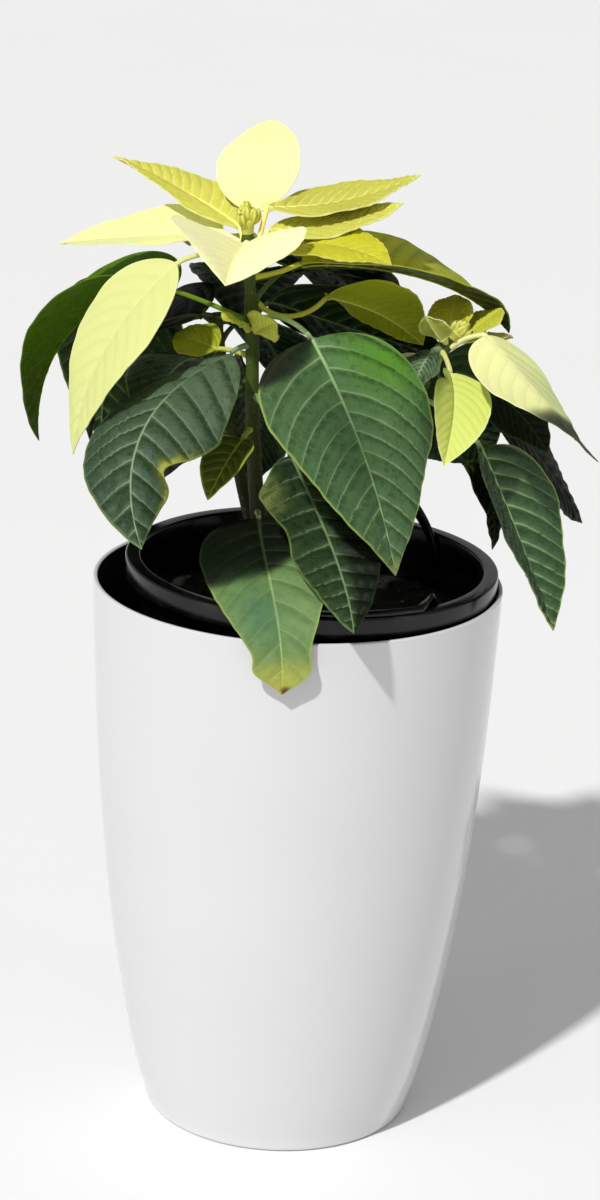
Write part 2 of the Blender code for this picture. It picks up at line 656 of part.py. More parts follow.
def half_section(fold, curl, shares):
    """Reach and rise of half a section at shares of its width, from the slope's integral."""
    fine = np.linspace(0.0, 1.0, 21)
    slope = np.radians(fold - curl * fine)
    middle = (slope[1:] + slope[:-1]) / 2
    reach = np.concatenate([[0.0], np.cumsum(np.cos(middle))]) / 20
    rise = np.concatenate([[0.0], np.cumsum(np.sin(middle))]) / 20
    return np.interp(shares, fine, reach), np.interp(shares, fine, rise)


def stalk_rings(start, turn, length, pitches, roll, columns):
    """Round sections of the stalk, with the same count of corners as the blade's."""
    shares = np.linspace(0.0, 1.0, STALK_RINGS + 1)
    middle = (shares[1:] + shares[:-1]) / 2
    spread = pitches[1] - pitches[0]
    points = follow(start, turn, pitches[0] + spread * middle, length)
    side, up = frames(np.full(STALK_RINGS + 1, float(turn)), pitches[0] + spread * shares, roll * shares)
    angle = math.pi - (np.arange(columns + 1) + 0.5) * math.pi / (columns + 1)
    across = STALK_RADIUS * np.cos(angle)[None, :, None] * side[:, None, :]
    above = STALK_RADIUS * np.sin(angle)[None, :, None] * up[:, None, :]
    centre = points[:, None, :]
    rings = np.concatenate([centre + across + above, (centre + across - above)[:, ::-1]], 1)
    return rings[:-1], points[-1]


def blade_rings(base, leaf, columns, rings):
    """Flat sections of the blade from its base to its tip, upper side first."""
    shape = OUTLINES[leaf.get("outline", "leaf")]
    length, width = leaf["size"]
    shares = (np.arange(rings + 1) / rings) ** 1.15
    fine = np.linspace(0.0, 1.0, 49)
    sweep = leaf.get("sweep", 0.0)
    pitch_base, pitch_tip = leaf["pitch"]
    middle = (fine[1:] + fine[:-1]) / 2
    spread = pitch_tip - pitch_base
    late = leaf.get("late", 1.0)
    line = follow(base, leaf["turn"] + sweep * middle, pitch_base + spread * middle ** late, length)
    centre = np.stack([np.interp(shares, fine, line[:, k]) for k in range(3)], -1)
    roll_base, roll_tip = leaf.get("roll", (0.0, 0.0))
    side, up = frames(leaf["turn"] + sweep * shares, pitch_base + spread * shares ** late,
                      roll_base + (roll_tip - roll_base) * shares)
    peak = shape["rise"] / (shape["rise"] + shape["fall"])
    full = shares ** shape["rise"] * (1 - shares) ** shape["fall"]
    full = full / (peak ** shape["rise"] * (1 - peak) ** shape["fall"])
    half = np.maximum(full * width / 2, TIP_WIDTH / 2)
    half[0] = STALK_RADIUS
    across = np.linspace(-1.0, 1.0, columns + 1)
    reach, rise = half_section(leaf.get("fold", 12.0), leaf.get("curl", 14.0), np.abs(across))
    spans = np.repeat(half[:, None], columns + 1, 1)
    for hand, spot, reach_of_cut, share in leaf.get("cuts", ()):
        bump = share * np.exp(-((shares - spot) / reach_of_cut) ** 2)
        spans[:, np.sign(across) == hand] *= (1 + bump)[:, None]
    upper = centre[:, None, :] + (spans * reach * np.sign(across))[:, :, None] * side[:, None, :]
    upper = upper + (spans * rise)[:, :, None] * up[:, None, :]
    thick = BLADE_THICK + (MIDRIB_THICK - BLADE_THICK) * (1 - np.abs(across)) ** 3
    taper = np.clip(1.6 * (1 - shares), 0.0, 1.0)[:, None]
    depth = BLADE_THICK + (thick[None, :] - BLADE_THICK) * taper
    lower = upper - depth[:, :, None] * up[:, None, :]
    return np.concatenate([upper, lower[:, ::-1]], 1)


def loft(name, rings, columns, group):
    """One closed solid through the sections, with the same diagonals on both of its faces."""
    count = rings.shape[1]
    corners = rings.reshape(-1, 3) * MM
    faces = []
    for ring in range(len(rings) - 1):
        for k in range(count):
            a = ring * count + k
            b = ring * count + (k + 1) % count
            c = b + count
            d = a + count
            if k <= columns:
                faces += [(a, d, b), (b, d, c)]
            else:
                faces += [(a, d, c), (a, c, b)]
    last = (len(rings) - 1) * count
    for k in range(columns):
        a, b = k, k + 1
        c, d = count - 2 - k, count - 1 - k
        faces += [(a, b, d), (b, c, d)]
        faces += [(last + a, last + d, last + b), (last + b, last + d, last + c)]
    mesh = bpy.data.meshes.new(name)
    mesh.from_pydata(corners.tolist(), [], faces)
    soften(mesh, 50)
    return place(name, mesh, group)


def build_blade(name, leaf, group):
    """A leaf or bract with its stalk, lofted as one thin solid."""
    shape = OUTLINES[leaf.get("outline", "leaf")]
    columns = shape["columns"]
    pitches = leaf["stalk_pitch"]
    start = attachment(leaf["stem"], leaf["height"], leaf["turn"], pitches[0])
    roll = leaf.get("roll", (0.0, 0.0))[0]
    stalk, base = stalk_rings(start, leaf["turn"], leaf["stalk"], pitches, roll, columns)
    blade = blade_rings(base, leaf, columns, shape["rings"])
    return loft(name, np.concatenate([stalk, blade]), columns, group)


def build():
    """The whole potted plant."""
    clear_scene()
    group = new_collection("poinsettia")
    cutters = new_collection("cutters")
    build_planter(group)
    lean = build_lean(group)
    build_liner(lean, group)
    strap("handle_back", raised_route, lean, group)
    strap("handle_front", folded_route, lean, group)
    build_soil(lean, group, cutters)
    build_stems(group)
    for name, cluster in CLUSTERS.items():
        build_cluster(name, group=group, **cluster)
    for name, leaf in BLADES.items():
        build_blade(name, leaf, group)


build()
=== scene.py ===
"""Potted poinsettia with its looks: fine blades with relief and veins, a glossy planter, a satin
insert pot with straps, soil, stems and flower clusters, on a pale floor in soft studio light."""

import math
import random

import bmesh
import bpy
import numpy as np
from mathutils import Euler, Matrix, Vector, noise


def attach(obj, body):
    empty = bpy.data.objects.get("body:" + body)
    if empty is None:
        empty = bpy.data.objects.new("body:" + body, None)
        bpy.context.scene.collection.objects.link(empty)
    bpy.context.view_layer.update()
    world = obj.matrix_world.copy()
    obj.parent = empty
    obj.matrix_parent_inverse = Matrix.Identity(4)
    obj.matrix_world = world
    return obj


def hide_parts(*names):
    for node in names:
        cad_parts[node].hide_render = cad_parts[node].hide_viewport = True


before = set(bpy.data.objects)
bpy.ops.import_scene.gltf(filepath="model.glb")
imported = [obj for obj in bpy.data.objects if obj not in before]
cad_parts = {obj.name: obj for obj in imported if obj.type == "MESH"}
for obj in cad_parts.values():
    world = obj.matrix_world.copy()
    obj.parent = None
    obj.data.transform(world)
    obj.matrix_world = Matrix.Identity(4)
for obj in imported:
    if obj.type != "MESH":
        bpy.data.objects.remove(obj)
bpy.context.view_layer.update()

MM = 0.001

# Running clearance between pieces that touch or rest on each other, in millimetres
GAP = 0.3

# Planter: height, wall, floor and roundings, and the outer radius at shares of its height
PLANTER_HEIGHT = 277.8
PLANTER_WALL = 2.2
PLANTER_FLOOR = 4.0
PLANTER_FOOT_ROUND = 3.0
PLANTER_RIM_ROUND = 0.8
PLANTER_OUTLINE = ((0.0, 66.2), (0.1, 74.1), (0.25, 82.2), (0.4, 88.4),
                   (0.55, 92.8), (0.7, 96.1), (0.85, 98.3), (1.0, 100.0))
PLANTER_LEVELS = 44
TURN_STEPS = 160

# Insert pot, in its own leaning frame whose origin is the middle of its lip
LINER_PLACE = (6.4, 0.0, 287.7)
LINER_LEAN = 1.0
LINER_DEPTH = 282.4
LINER_LIP_RADIUS = 91.0
LINER_MOUTH_RADIUS = 85.0
LINER_FOOT_RADIUS = 60.0
LINER_SKIRT = 10.0
LINER_WALL = 1.4
LINER_LIP_ROUND = 1.2
LINER_WAIST = -40.0

# Strap handles of the insert pot: the arc that they span, their section, and how far the
# standing one rises; the folded one turns down inside the mouth over a share of its length
HANDLE_ARC = (39.0, 116.0)
HANDLE_THICK = 1.8
HANDLE_DEEP = 8.0
HANDLE_FLAT_DEEP = 5.4
HANDLE_RISE = 26.0
HANDLE_SEAT = -14.0
HANDLE_STEPS = 96
HANDLE_ROUND = 0.6
HANDLE_CLEAR = GAP + 0.3
FOLD_SEAT = -9.0
FOLD_STEP = 2.4
FOLD_SHARE = 0.2

# Soil surface below the lip, its unevenness and roughness, and the crumbs that lie on it
SOIL_DROP = 28.0
SOIL_BUMP = 1.4
SOIL_GRIT = 1.1
SOIL_RINGS = 64
CRUMBS = 460
CRUMB_SIZE = (0.6, 2.6)

# Stems: points of each centreline and the radius at foot and top
STEMS = {
    "middle": dict(points=((-16, 2, 236.3), (-16, 2, 266), (-20, 2, 300), (-25, 1, 350),
                           (-27, 1, 400), (-31, 0, 447)), radius=(4.8, 2.5)),
    "right": dict(points=((-16, 2, 268), (-10, 7, 296), (2, 13, 322), (24, 16, 347),
                          (48, 16, 372), (69, 12, 398)), radius=(3.8, 2.6)),
    "back": dict(points=((-16, 2, 268), (-23, 12, 296), (-31, 25, 322), (-40, 42, 360),
                         (-46, 54, 396)), radius=(3.6, 2.4)),
}
STEM_STEPS = 4
STEM_SIDES = 28
STEM_FINE = 6
NODE_SWELL = 0.35
NODE_REACH = 2.2

# Blades: thickness at the edge and along the midrib, and the stalk's radius
BLADE_THICK = 0.45
MIDRIB_THICK = 1.5
STALK_RADIUS = 1.2
STALK_RINGS = 14
STALK_SUNK = 1.4
TIP_WIDTH = 0.6
LINE_STEPS = 192

# Extra thickness along the side veins and at the blade's base, the midrib's groove, the small
# bumps as a share of the pucker, the waves of the edge between the side veins, and the side
# veins' slant at the base and how much it gains towards the tip
VEIN_THICK = 0.25
BASE_THICK = 0.9
GROOVE_DEPTH = 0.55
BUMP_SHARE = 0.16
SCALLOP = 0.006
SLANT_START = 0.45
SLANT_GAIN = 0.9

# Outline of a blade: s**rise * (1 - s)**fall, and its rings and columns
OUTLINES = {
    "leaf": dict(rise=0.46, fall=0.92, rings=90, columns=28),
    "bract": dict(rise=0.66, fall=0.95, rings=90, columns=26),
    "young": dict(rise=0.60, fall=0.90, rings=44, columns=18),
}

# Looks, part by part: the skin's, veins', margin's and underside's colours, how clearly the veins
# show, the side veins from base to tip, their slant on each side and bend, the relief and wave in
# millimetres, the sheen as the shader's specular level, the strength of the painted shade in the
# folds and of the pale mottling, and the outline
LOOK_PARTS = ("skin", "vein", "margin", "under", "clear", "veins", "slant", "bend", "pucker",
              "wave", "sheen", "quilt", "outline")
LOOKS = {
    "deep": ((0.055, 0.122, 0.04), (0.32, 0.49, 0.21), (0.28, 0.4, 0.08), (0.07, 0.12, 0.05), 0.8, 11,
        (0.6, 0.6), 1.0, 2.4, 0.8, 0.26, 1.0, "leaf"),
    "grey": ((0.026, 0.056, 0.024), (0.2, 0.29, 0.16), (0.13, 0.19, 0.05), (0.05, 0.09, 0.04), 0.95, 11,
        (0.6, 0.6), 1.0, 2.8, 1.0, 0.18, 1.0, "leaf"),
    # The back leaves' look: darker than leaf green, standing for the shade they lie in: painted shade.
    "painted_shade": ((0.02, 0.046, 0.014), (0.09, 0.15, 0.05), (0.1, 0.15, 0.03), (0.016, 0.034, 0.01), 0.65, 11,
        (0.6, 0.6), 1.0, 2.2, 0.8, 0.04, 0.8, "leaf"),
    # Near-black leaves, for leaves that lie in deep shade: painted shade.
    "dark": ((0.006, 0.01, 0.003), (0.02, 0.032, 0.01), (0.03, 0.05, 0.01), (0.012, 0.02, 0.007), 0.5, 10,
        (0.65, 0.65), 1.5, 1.2, 0.8, 0.04, 0.5, "leaf"),
    "rich": ((0.062, 0.15, 0.003), (0.11, 0.19, 0.016), (0.12, 0.19, 0.012), (0.075, 0.165, 0.003), 0.55,
        10, (0.65, 0.65), 1.5, 1.4, 0.6, 0.04, 0.5, "leaf"),
    "lime": ((0.125, 0.215, 0.066), (0.24, 0.35, 0.13), (0.26, 0.33, 0.07), (0.14, 0.22, 0.08), 0.45, 9,
        (0.6, 0.6), 1.6, 1.4, 0.8, 0.2, 0.3, "leaf"),
    # The yellow-olive skin is partly the leaf's own colour, turning from bract to leaf, and partly painted
    # light shining through it; the near-black underside is painted shade.
    "olive": ((0.5, 0.52, 0.006), (0.46, 0.48, 0.05), (0.42, 0.45, 0.03), (0.03, 0.052, 0.004), 0.55, 12,
        (0.7, 0.7), 1.3, 0.9, 0.6, 0.1, 0.3, "leaf"),
    "young": ((0.3, 0.34, 0.02), (0.46, 0.5, 0.09), (0.44, 0.48, 0.07), (0.26, 0.3, 0.03), 0.5, 7,
        (0.7, 0.7), 1.2, 0.6, 0.5, 0.1, 0.25, "young"),
    "cream": ((0.64, 0.67, 0.25), (0.54, 0.57, 0.21), (0.7, 0.73, 0.31), (0.62, 0.66, 0.26), 0.35, 11,
        (0.8, 0.8), 1.2, 0.5, 0.5, 0.15, 0.04, "bract"),
    "ribbed": ((0.6, 0.585, 0.08), (0.8, 0.77, 0.24), (0.76, 0.75, 0.28), (0.7, 0.69, 0.16), 0.75, 14,
        (0.9, 0.9), 1.0, 1.8, 0.6, 0.15, 0.12, "bract"),
    "pale": ((0.86, 0.87, 0.38), (0.73, 0.75, 0.33), (0.9, 0.9, 0.45), (0.84, 0.84, 0.38), 0.35, 10,
        (0.8, 0.8), 1.2, 0.5, 0.5, 0.15, 0.03, "bract"),
    # For bracts in shade: the bracts' yellow made more saturated as painted light shining through them, with
    # a darker underside as painted shade.
    "shaded": ((0.58, 0.56, 0.022), (0.6, 0.58, 0.08), (0.64, 0.64, 0.12), (0.36, 0.37, 0.02), 0.55, 12,
        (0.8, 0.8), 1.2, 1.2, 0.6, 0.15, 0.3, "bract"),
}

# Where a blade grows and how it lies: its stem, the height on it, the compass turn from it (0 is
# +X, 90 is the back), the stalk's length and its pitch at both ends, the blade's length and
# width, and the midrib's pitch at base and tip
PLACE_PARTS = ("stem", "height", "turn", "stalk", "stalk_pitch", "size", "pitch")

# What is usual for a blade: late is the power of the share by which its pitch turns, sweep the
# change of direction on the way, roll the turn about the midrib at base and tip, fold the rise of
# each half at the midrib and curl how much of it is lost towards the edge. cuts are (side, place,
# spread, share of width), and patches, where the skin turns to another colour (its own, or painted
# shade and shadow), are (along, across, reach along, reach across, colour, hardness).
USUAL = dict(late=1.0, sweep=0.0, roll=(0.0, 0.0), fold=12.0, curl=14.0, cuts=(), patches=())


def blade(look, *place, **own):
    """One leaf or bract, from its look, its place and what is its own."""
    return {**USUAL, **dict(zip(LOOK_PARTS, LOOKS[look])), **dict(zip(PLACE_PARTS, place)), **own}


BLADES = {
    "leaf_front": blade("deep", "middle", 406, -51, 44, (26, -27), (119, 89), (-41, -75), sweep=13,
        roll=(16, -8), fold=10, curl=16, cuts=((1, 0.5, 0.1, 0.06),), slant=(0.35, 0.6),
        # The first patch is painted shadow: near black on the left lobe at the base, where a shadow falls.
        patches=((0.0, -1.0, 0.16, 0.95, (0.004, 0.008, 0.003), 10),
        (0.17, 0.75, 0.15, 0.5, (0.085, 0.24, 0.018), 1), (0.45, -0.15, 0.3, 0.4, (0.04, 0.094, 0.03), 1),
        (1.0, 0.0, 0.05, 2.0, (0.3, 0.36, 0.07), 1))),
    "leaf_left": blade("grey", "middle", 393, -151, 9, (-2, -37), (137, 66), (-18, -42), sweep=88,
        roll=(6, -2), fold=-2, curl=32, cuts=((1, 0.64, 0.07, -0.4), (1, 0.45, 0.12, 0.12)),
        patches=((0.1, 0.0, 0.26, 2.0, (0.085, 0.13, 0.072), 1),
        (0.63, 1.0, 0.07, 0.22, (0.46, 0.46, 0.07), 1), (0.75, 1.0, 0.1, 0.1, (0.34, 0.36, 0.05), 1))),
    "leaf_low": blade("grey", "middle", 368, -55, 38, (-20, -49), (117, 49), (-41, -15), sweep=-32,
        roll=(-1, 14), fold=13, curl=4, cuts=((-1, 0.2, 0.09, 0.25), (-1, 0.42, 0.08, -0.15)), sheen=0.1,
        skin=(0.02, 0.044, 0.015), vein=(0.15, 0.23, 0.11), slant=(0.3, 0.5),
        patches=((0.2, -1.0, 0.1, 0.5, (0.16, 0.2, 0.06), 2),
        # The second patch is painted shade: near black over the right half, which lies in shade.
        (0.55, 0.85, 0.8, 0.72, (0.004, 0.008, 0.003), 4))),
    "leaf_rim": blade("lime", "middle", 311, -87, 18, (9, 5), (117, 61), (-8, -97), late=2.4, sweep=17,
        roll=(9, 21), fold=8, curl=5, cuts=((1, 0.93, 0.06, 0.8), (-1, 0.93, 0.06, 0.8)),
        # The first patch is painted shadow: near black over the base, where a shadow falls.
        patches=((0.0, -1.2, 0.5, 3.0, (0.002, 0.005, 0.001), 24),
        (0.66, -0.35, 0.14, 0.4, (0.075, 0.17, 0.075), 1), (1.0, 0.0, 0.13, 2.0, (0.36, 0.38, 0.07), 2),
        (0.985, 0.4, 0.02, 0.7, (0.12, 0.035, 0.012), 2))),
    "leaf_right": blade("deep", "right", 372, -26, 46, (-11, -47), (94, 64), (-60, -62), sweep=-14,
        roll=(3, -10), fold=21, curl=4, skin=(0.026, 0.07, 0.022),
        patches=((0.3, -1.0, 0.4, 0.5, (0.014, 0.04, 0.012), 1),)),
    "leaf_right_dark": blade("dark", "right", 378, 21, 39, (-5, -30), (90, 60), (-44, -56), sweep=11,
        roll=(23, 39), fold=7, curl=19),
    "leaf_right_under": blade("dark", "right", 384, -8, 22, (0, -20), (50, 38), (-25, -60), roll=(35, 35)),
    "leaf_right_thin": blade("dark", "right", 360, -15, 45, (-12, -37), (48, 16), (-37, -102),
        outline="young", sweep=4, roll=(30, 30)),
    "leaf_left_dark": blade("dark", "middle", 398, 138, 32, (24, -11), (111, 72), (-8, -90), sweep=19,
        roll=(-20, -14), fold=13, curl=12),
    "leaf_far_left": blade("rich", "middle", 405, 149, 44, (14, 7), (126, 74), (-1, -100), sweep=28,
        roll=(0, -12), fold=24, curl=1),
    "leaf_arch": blade("olive", "middle", 426, 8, 23, (8, 29), (134, 53), (3, -42), sweep=46, roll=(6, 15),
        fold=26, curl=13, patches=((0.55, 0.6, 0.25, 0.6, (0.36, 0.4, 0.04), 1),
        # The second patch is painted shade: the drooping tip is darkened for its shaded underside.
        (1.0, 0.0, 0.2, 3.0, (0.015, 0.03, 0.006), 1))),
    "leaf_olive": blade("olive", "middle", 412, 17, 39, (-42, 57), (58, 47), (-11, -45), sweep=8,
        roll=(-18, -53), fold=16, curl=5, skin=(0.27, 0.32, 0.008), under=(0.28, 0.33, 0.008)),
    "leaf_grey": blade("grey", "right", 392, -125, 6, (10, 0), (24, 20), (-25, -75), outline="young", fold=8),
    "leaf_small_low": blade("young", "middle", 352, -111, 9, (-2, -33), (41, 25), (-14, -52), sweep=-11,
        roll=(-3, -5), fold=30, curl=14, skin=(0.09, 0.13, 0.015), under=(0.08, 0.11, 0.012)),
    "shoot_left": blade("young", "middle", 388, 159, 15, (14, -6), (25, 27), (18, -1), sweep=-22,
        roll=(-20, -28), fold=11, curl=15, skin=(0.36, 0.41, 0.016), under=(0.3, 0.34, 0.014)),
    "shoot_mid": blade("young", "middle", 402, -125, 5, (40, 40), (16, 15), (35, -5), roll=(-14, -17),
        skin=(0.62, 0.68, 0.06), under=(0.52, 0.58, 0.05)),
    "shoot_right": blade("young", "middle", 402, -73, 6, (7, 6), (26, 19), (26, 16), sweep=11,
        roll=(-47, -56), fold=7, curl=20, skin=(0.8, 0.84, 0.12), under=(0.66, 0.7, 0.09)),
    # The back leaves' dark skins are painted shade.
    "leaf_back_right": blade("painted_shade", "middle", 414, 58, 34, (35, 5), (112, 66), (0, -70),
        skin=(0.018, 0.04, 0.012), under=(0.014, 0.028, 0.008)),
    "leaf_back_middle": blade("painted_shade", "middle", 404, 93, 40, (35, 0), (100, 60), (5, -60),
        skin=(0.018, 0.04, 0.012), under=(0.012, 0.024, 0.007)),
    "leaf_back_top": blade("painted_shade", "back", 384, 60, 18, (35, 5), (74, 46), (-15, -75),
        skin=(0.03, 0.068, 0.02)),
    "leaf_back_left": blade("painted_shade", "back", 366, 118, 24, (30, 0), (84, 50), (-10, -75),
        skin=(0.026, 0.06, 0.018)),
    "leaf_back_low": blade("painted_shade", "back", 356, 30, 24, (20, -10), (72, 52), (0, -50),
        skin=(0.022, 0.05, 0.016)),
    "leaf_side_right": blade("painted_shade", "right", 362, 80, 28, (10, -10), (92, 54), (-15, -75),
        skin=(0.026, 0.06, 0.02)),
    "leaf_side_left": blade("painted_shade", "middle", 340, 128, 30, (20, -10), (90, 54), (-20, -60),
        skin=(0.022, 0.05, 0.016)),
    "leaf_back_wide": blade("painted_shade", "back", 391.5, 5, 27, (1, 55), (98, 66), (-18, -17), sweep=5,
        roll=(-35, -35), skin=(0.016, 0.034, 0.01), under=(0.01, 0.02, 0.006)),
    "leaf_back_inner": blade("painted_shade", "back", 356, 70, 26, (0, 33), (64, 68), (-55, -109), sweep=26,
        roll=(51, 51), skin=(0.02, 0.044, 0.014), under=(0.014, 0.028, 0.008)),
    "leaf_back_far_left": blade("painted_shade", "back", 391.5, 128, 61, (12, -4), (97, 66), (-42, -94),
        roll=(41, 41), skin=(0.018, 0.038, 0.01), under=(0.012, 0.024, 0.006)),
    "leaf_side_under": blade("painted_shade", "right", 366, 52, 35, (-22, 58), (68, 66), (-49, -55), sweep=-23,
        roll=(97, 97), skin=(0.024, 0.054, 0.018)),
    "bract_hanging": blade("cream", "middle", 436, -163, 33, (19, -27), (107, 50), (-39, -87), sweep=-13,
        roll=(-33, -16), fold=10, curl=15),
    "bract_top_back": blade("pale", "middle", 439, 84, 18, (66, 52), (58, 42), (72, 14), sweep=-3,
        roll=(-11, -13), fold=10, curl=16),
    "bract_top_left_upper": blade("ribbed", "middle", 445, 124, 5, (58, 52), (90, 33), (13, 14), sweep=31,
        roll=(-16, 8), fold=22, curl=17),
    "bract_top_left": blade("pale", "middle", 442, 153, 11, (25, 16), (96, 44), (-8, -14), sweep=-4,
        roll=(-21, -12), fold=19, curl=9, patches=((1.0, 0.0, 0.6, 3.0, (0.8, 0.82, 0.36), 1),)),
    "bract_top_front": blade("pale", "middle", 443, -99, 4, (12, 5), (70, 70), (3, -11), sweep=7,
        roll=(4, -15), fold=35, curl=19, skin=(0.98, 0.95, 0.52), vein=(0.82, 0.8, 0.42)),
    "bract_top_right_upper": blade("ribbed", "middle", 438, 16, 22, (82, 74), (76, 40), (-2, 26), sweep=-8,
        roll=(10, 4), cuts=((1, 0.1, 0.12, -0.45),), skin=(0.52, 0.51, 0.065)),
    "bract_top_right": blade("ribbed", "middle", 431, -3, 19, (80, 72), (65, 40), (5, 21), sweep=13,
        roll=(9, 5), fold=9, curl=17),
    "bract_top_shaded": blade("shaded", "middle", 441, -33, 22, (16, 5), (54, 42), (18, -22), sweep=9,
        roll=(8, 10), fold=10),
    "bract_top_rear_right": blade("ribbed", "middle", 431, 62, 9, (20, 10), (70, 34), (5, -20)),
    "bract_top_rear_left": blade("cream", "middle", 434, 112, 9, (25, 10), (74, 36), (5, -25)),
    "bract_right_long": blade("pale", "right", 397, -49, 25, (37, 10), (90, 49), (-29, -28), outline="leaf",
        sweep=-2, roll=(-1, -34), fold=-16, curl=-10,
        cuts=((-1, 0.8, 0.17, -0.6), (1, 0.8, 0.2, -0.3), (-1, 0.45, 0.15, 0.2)),
        patches=((0.5, 1.0, 0.5, 0.8, (0.58, 0.66, 0.28), 1), (1.0, 0.0, 0.42, 3.0, (0.026, 0.04, 0.02), 9))),
    "bract_right_hanging": blade("cream", "right", 392, -77, 18, (-5, -34), (54, 35), (-22, -60), sweep=-36,
        roll=(-24, -34), fold=34, curl=10, cuts=((-1, 0.2, 0.09, -0.45),), skin=(0.6, 0.68, 0.15),
        # The patch is painted shade: olive over the left half, which lies in shade.
        patches=((0.3, -1.0, 0.3, 0.35, (0.16, 0.2, 0.012), 1),)),
    "bract_right_small": blade("cream", "right", 396, -135, 3, (40, 44), (17, 18), (42, 51),
        outline="young", sweep=-7, roll=(18, 24), fold=9, curl=17, skin=(0.44, 0.5, 0.06),
        under=(0.4, 0.46, 0.05)),
    "bract_right_olive": blade("shaded", "right", 395, 82, 4, (55, 58), (24, 23), (62, 22), roll=(-10, -10),
        fold=16, curl=9),
    "bract_right_olive_far": blade("shaded", "right", 397, 26, 5, (35, 23), (25, 30), (40, 21), sweep=17,
        roll=(-6, -10), fold=11, curl=15, skin=(0.52, 0.54, 0.05)),
    "bract_right_rear": blade("ribbed", "right", 392, 58, 8, (20, 5), (54, 34), (8, -25)),
    "bract_right_rear_left": blade("cream", "right", 384, 100, 8, (20, 5), (46, 26), (-15, -45)),
}
YOUNG = ("leaf_arch", "leaf_olive", "leaf_rim", "leaf_small_low")

# Values of a blade's corners on its stalk, and the colours by side: above, below, and how much
# the patches turn them
STALK_VALUES = dict(phase=0.5, across=0.0, edge=9.0, rib=0.0, flat=(0.0, 0.0, 0.0))
TINTS = (("skin", "under", 1.0), ("vein", "vein", 0.92), ("margin", "margin", 0.95))

# Roughness of each kind of blade and the strength of its fine relief
SURFACES = {"leaf": (0.38, 0.7), "young_leaf": (0.42, 0.5), "bract": (0.48, 0.25)}

# Flower clusters: their stem, count of buds, spread and height, then the size of one bud
CLUSTERS = {
    "cyathia_top": dict(stem="middle", buds=9, spread=5.0, tall=17.0),
    "cyathia_right": dict(stem="right", buds=6, spread=3.8, tall=11.0),
}
BUD_RADIUS = 2.4
BUD_LENGTH = 8.0
BUD_LEAN = 0.08
BUD_SEAT = 0.72
BUD_DROP = 0.30
BUD_RINGS = 22
BUD_INNER = 7
BUD_MOUTH = 0.84
BUD_SIDES = 30
BUD_FLUTES = 5
FLUTE_DEPTH = 0.09
GOLDEN_TURN = 137.5
DOME_RADIUS = (2.7, 4.4)
DOME_SHARE = 0.4

# Camera: place in metres, pitch, yaw and roll in degrees, and lens on the frame's long side
CAMERA_PLACE = (0.0, -1.4776, 0.7491)
CAMERA_PITCH = 18.09
CAMERA_YAW = 0.05
CAMERA_ROLL = 2.51
CAMERA_LENS = 95.25
SENSOR = 36.0
CAMERA_RANGE = (0.05, 100.0)

# Light: the key's power, spread in degrees and direction, the soft boxes' place, size and power,
# the point that they face, and the strength of the pale surround
KEY_POWER = 2.8
KEY_SPREAD = 2.5
KEY_DIRECTION = (0.62, 1.08, -1.36)
SOFT_BOXES = (("box_left", (-1.6, -0.9, 0.8), (0.5, 1.8), 2.4),
              ("box_right", (1.5, -0.8, 0.8), (0.16, 1.6), 1.6))
BOX_TARGET = (0.0, 0.0, 0.2)
SURROUND = 0.37
FLOOR_REACH = 14.0


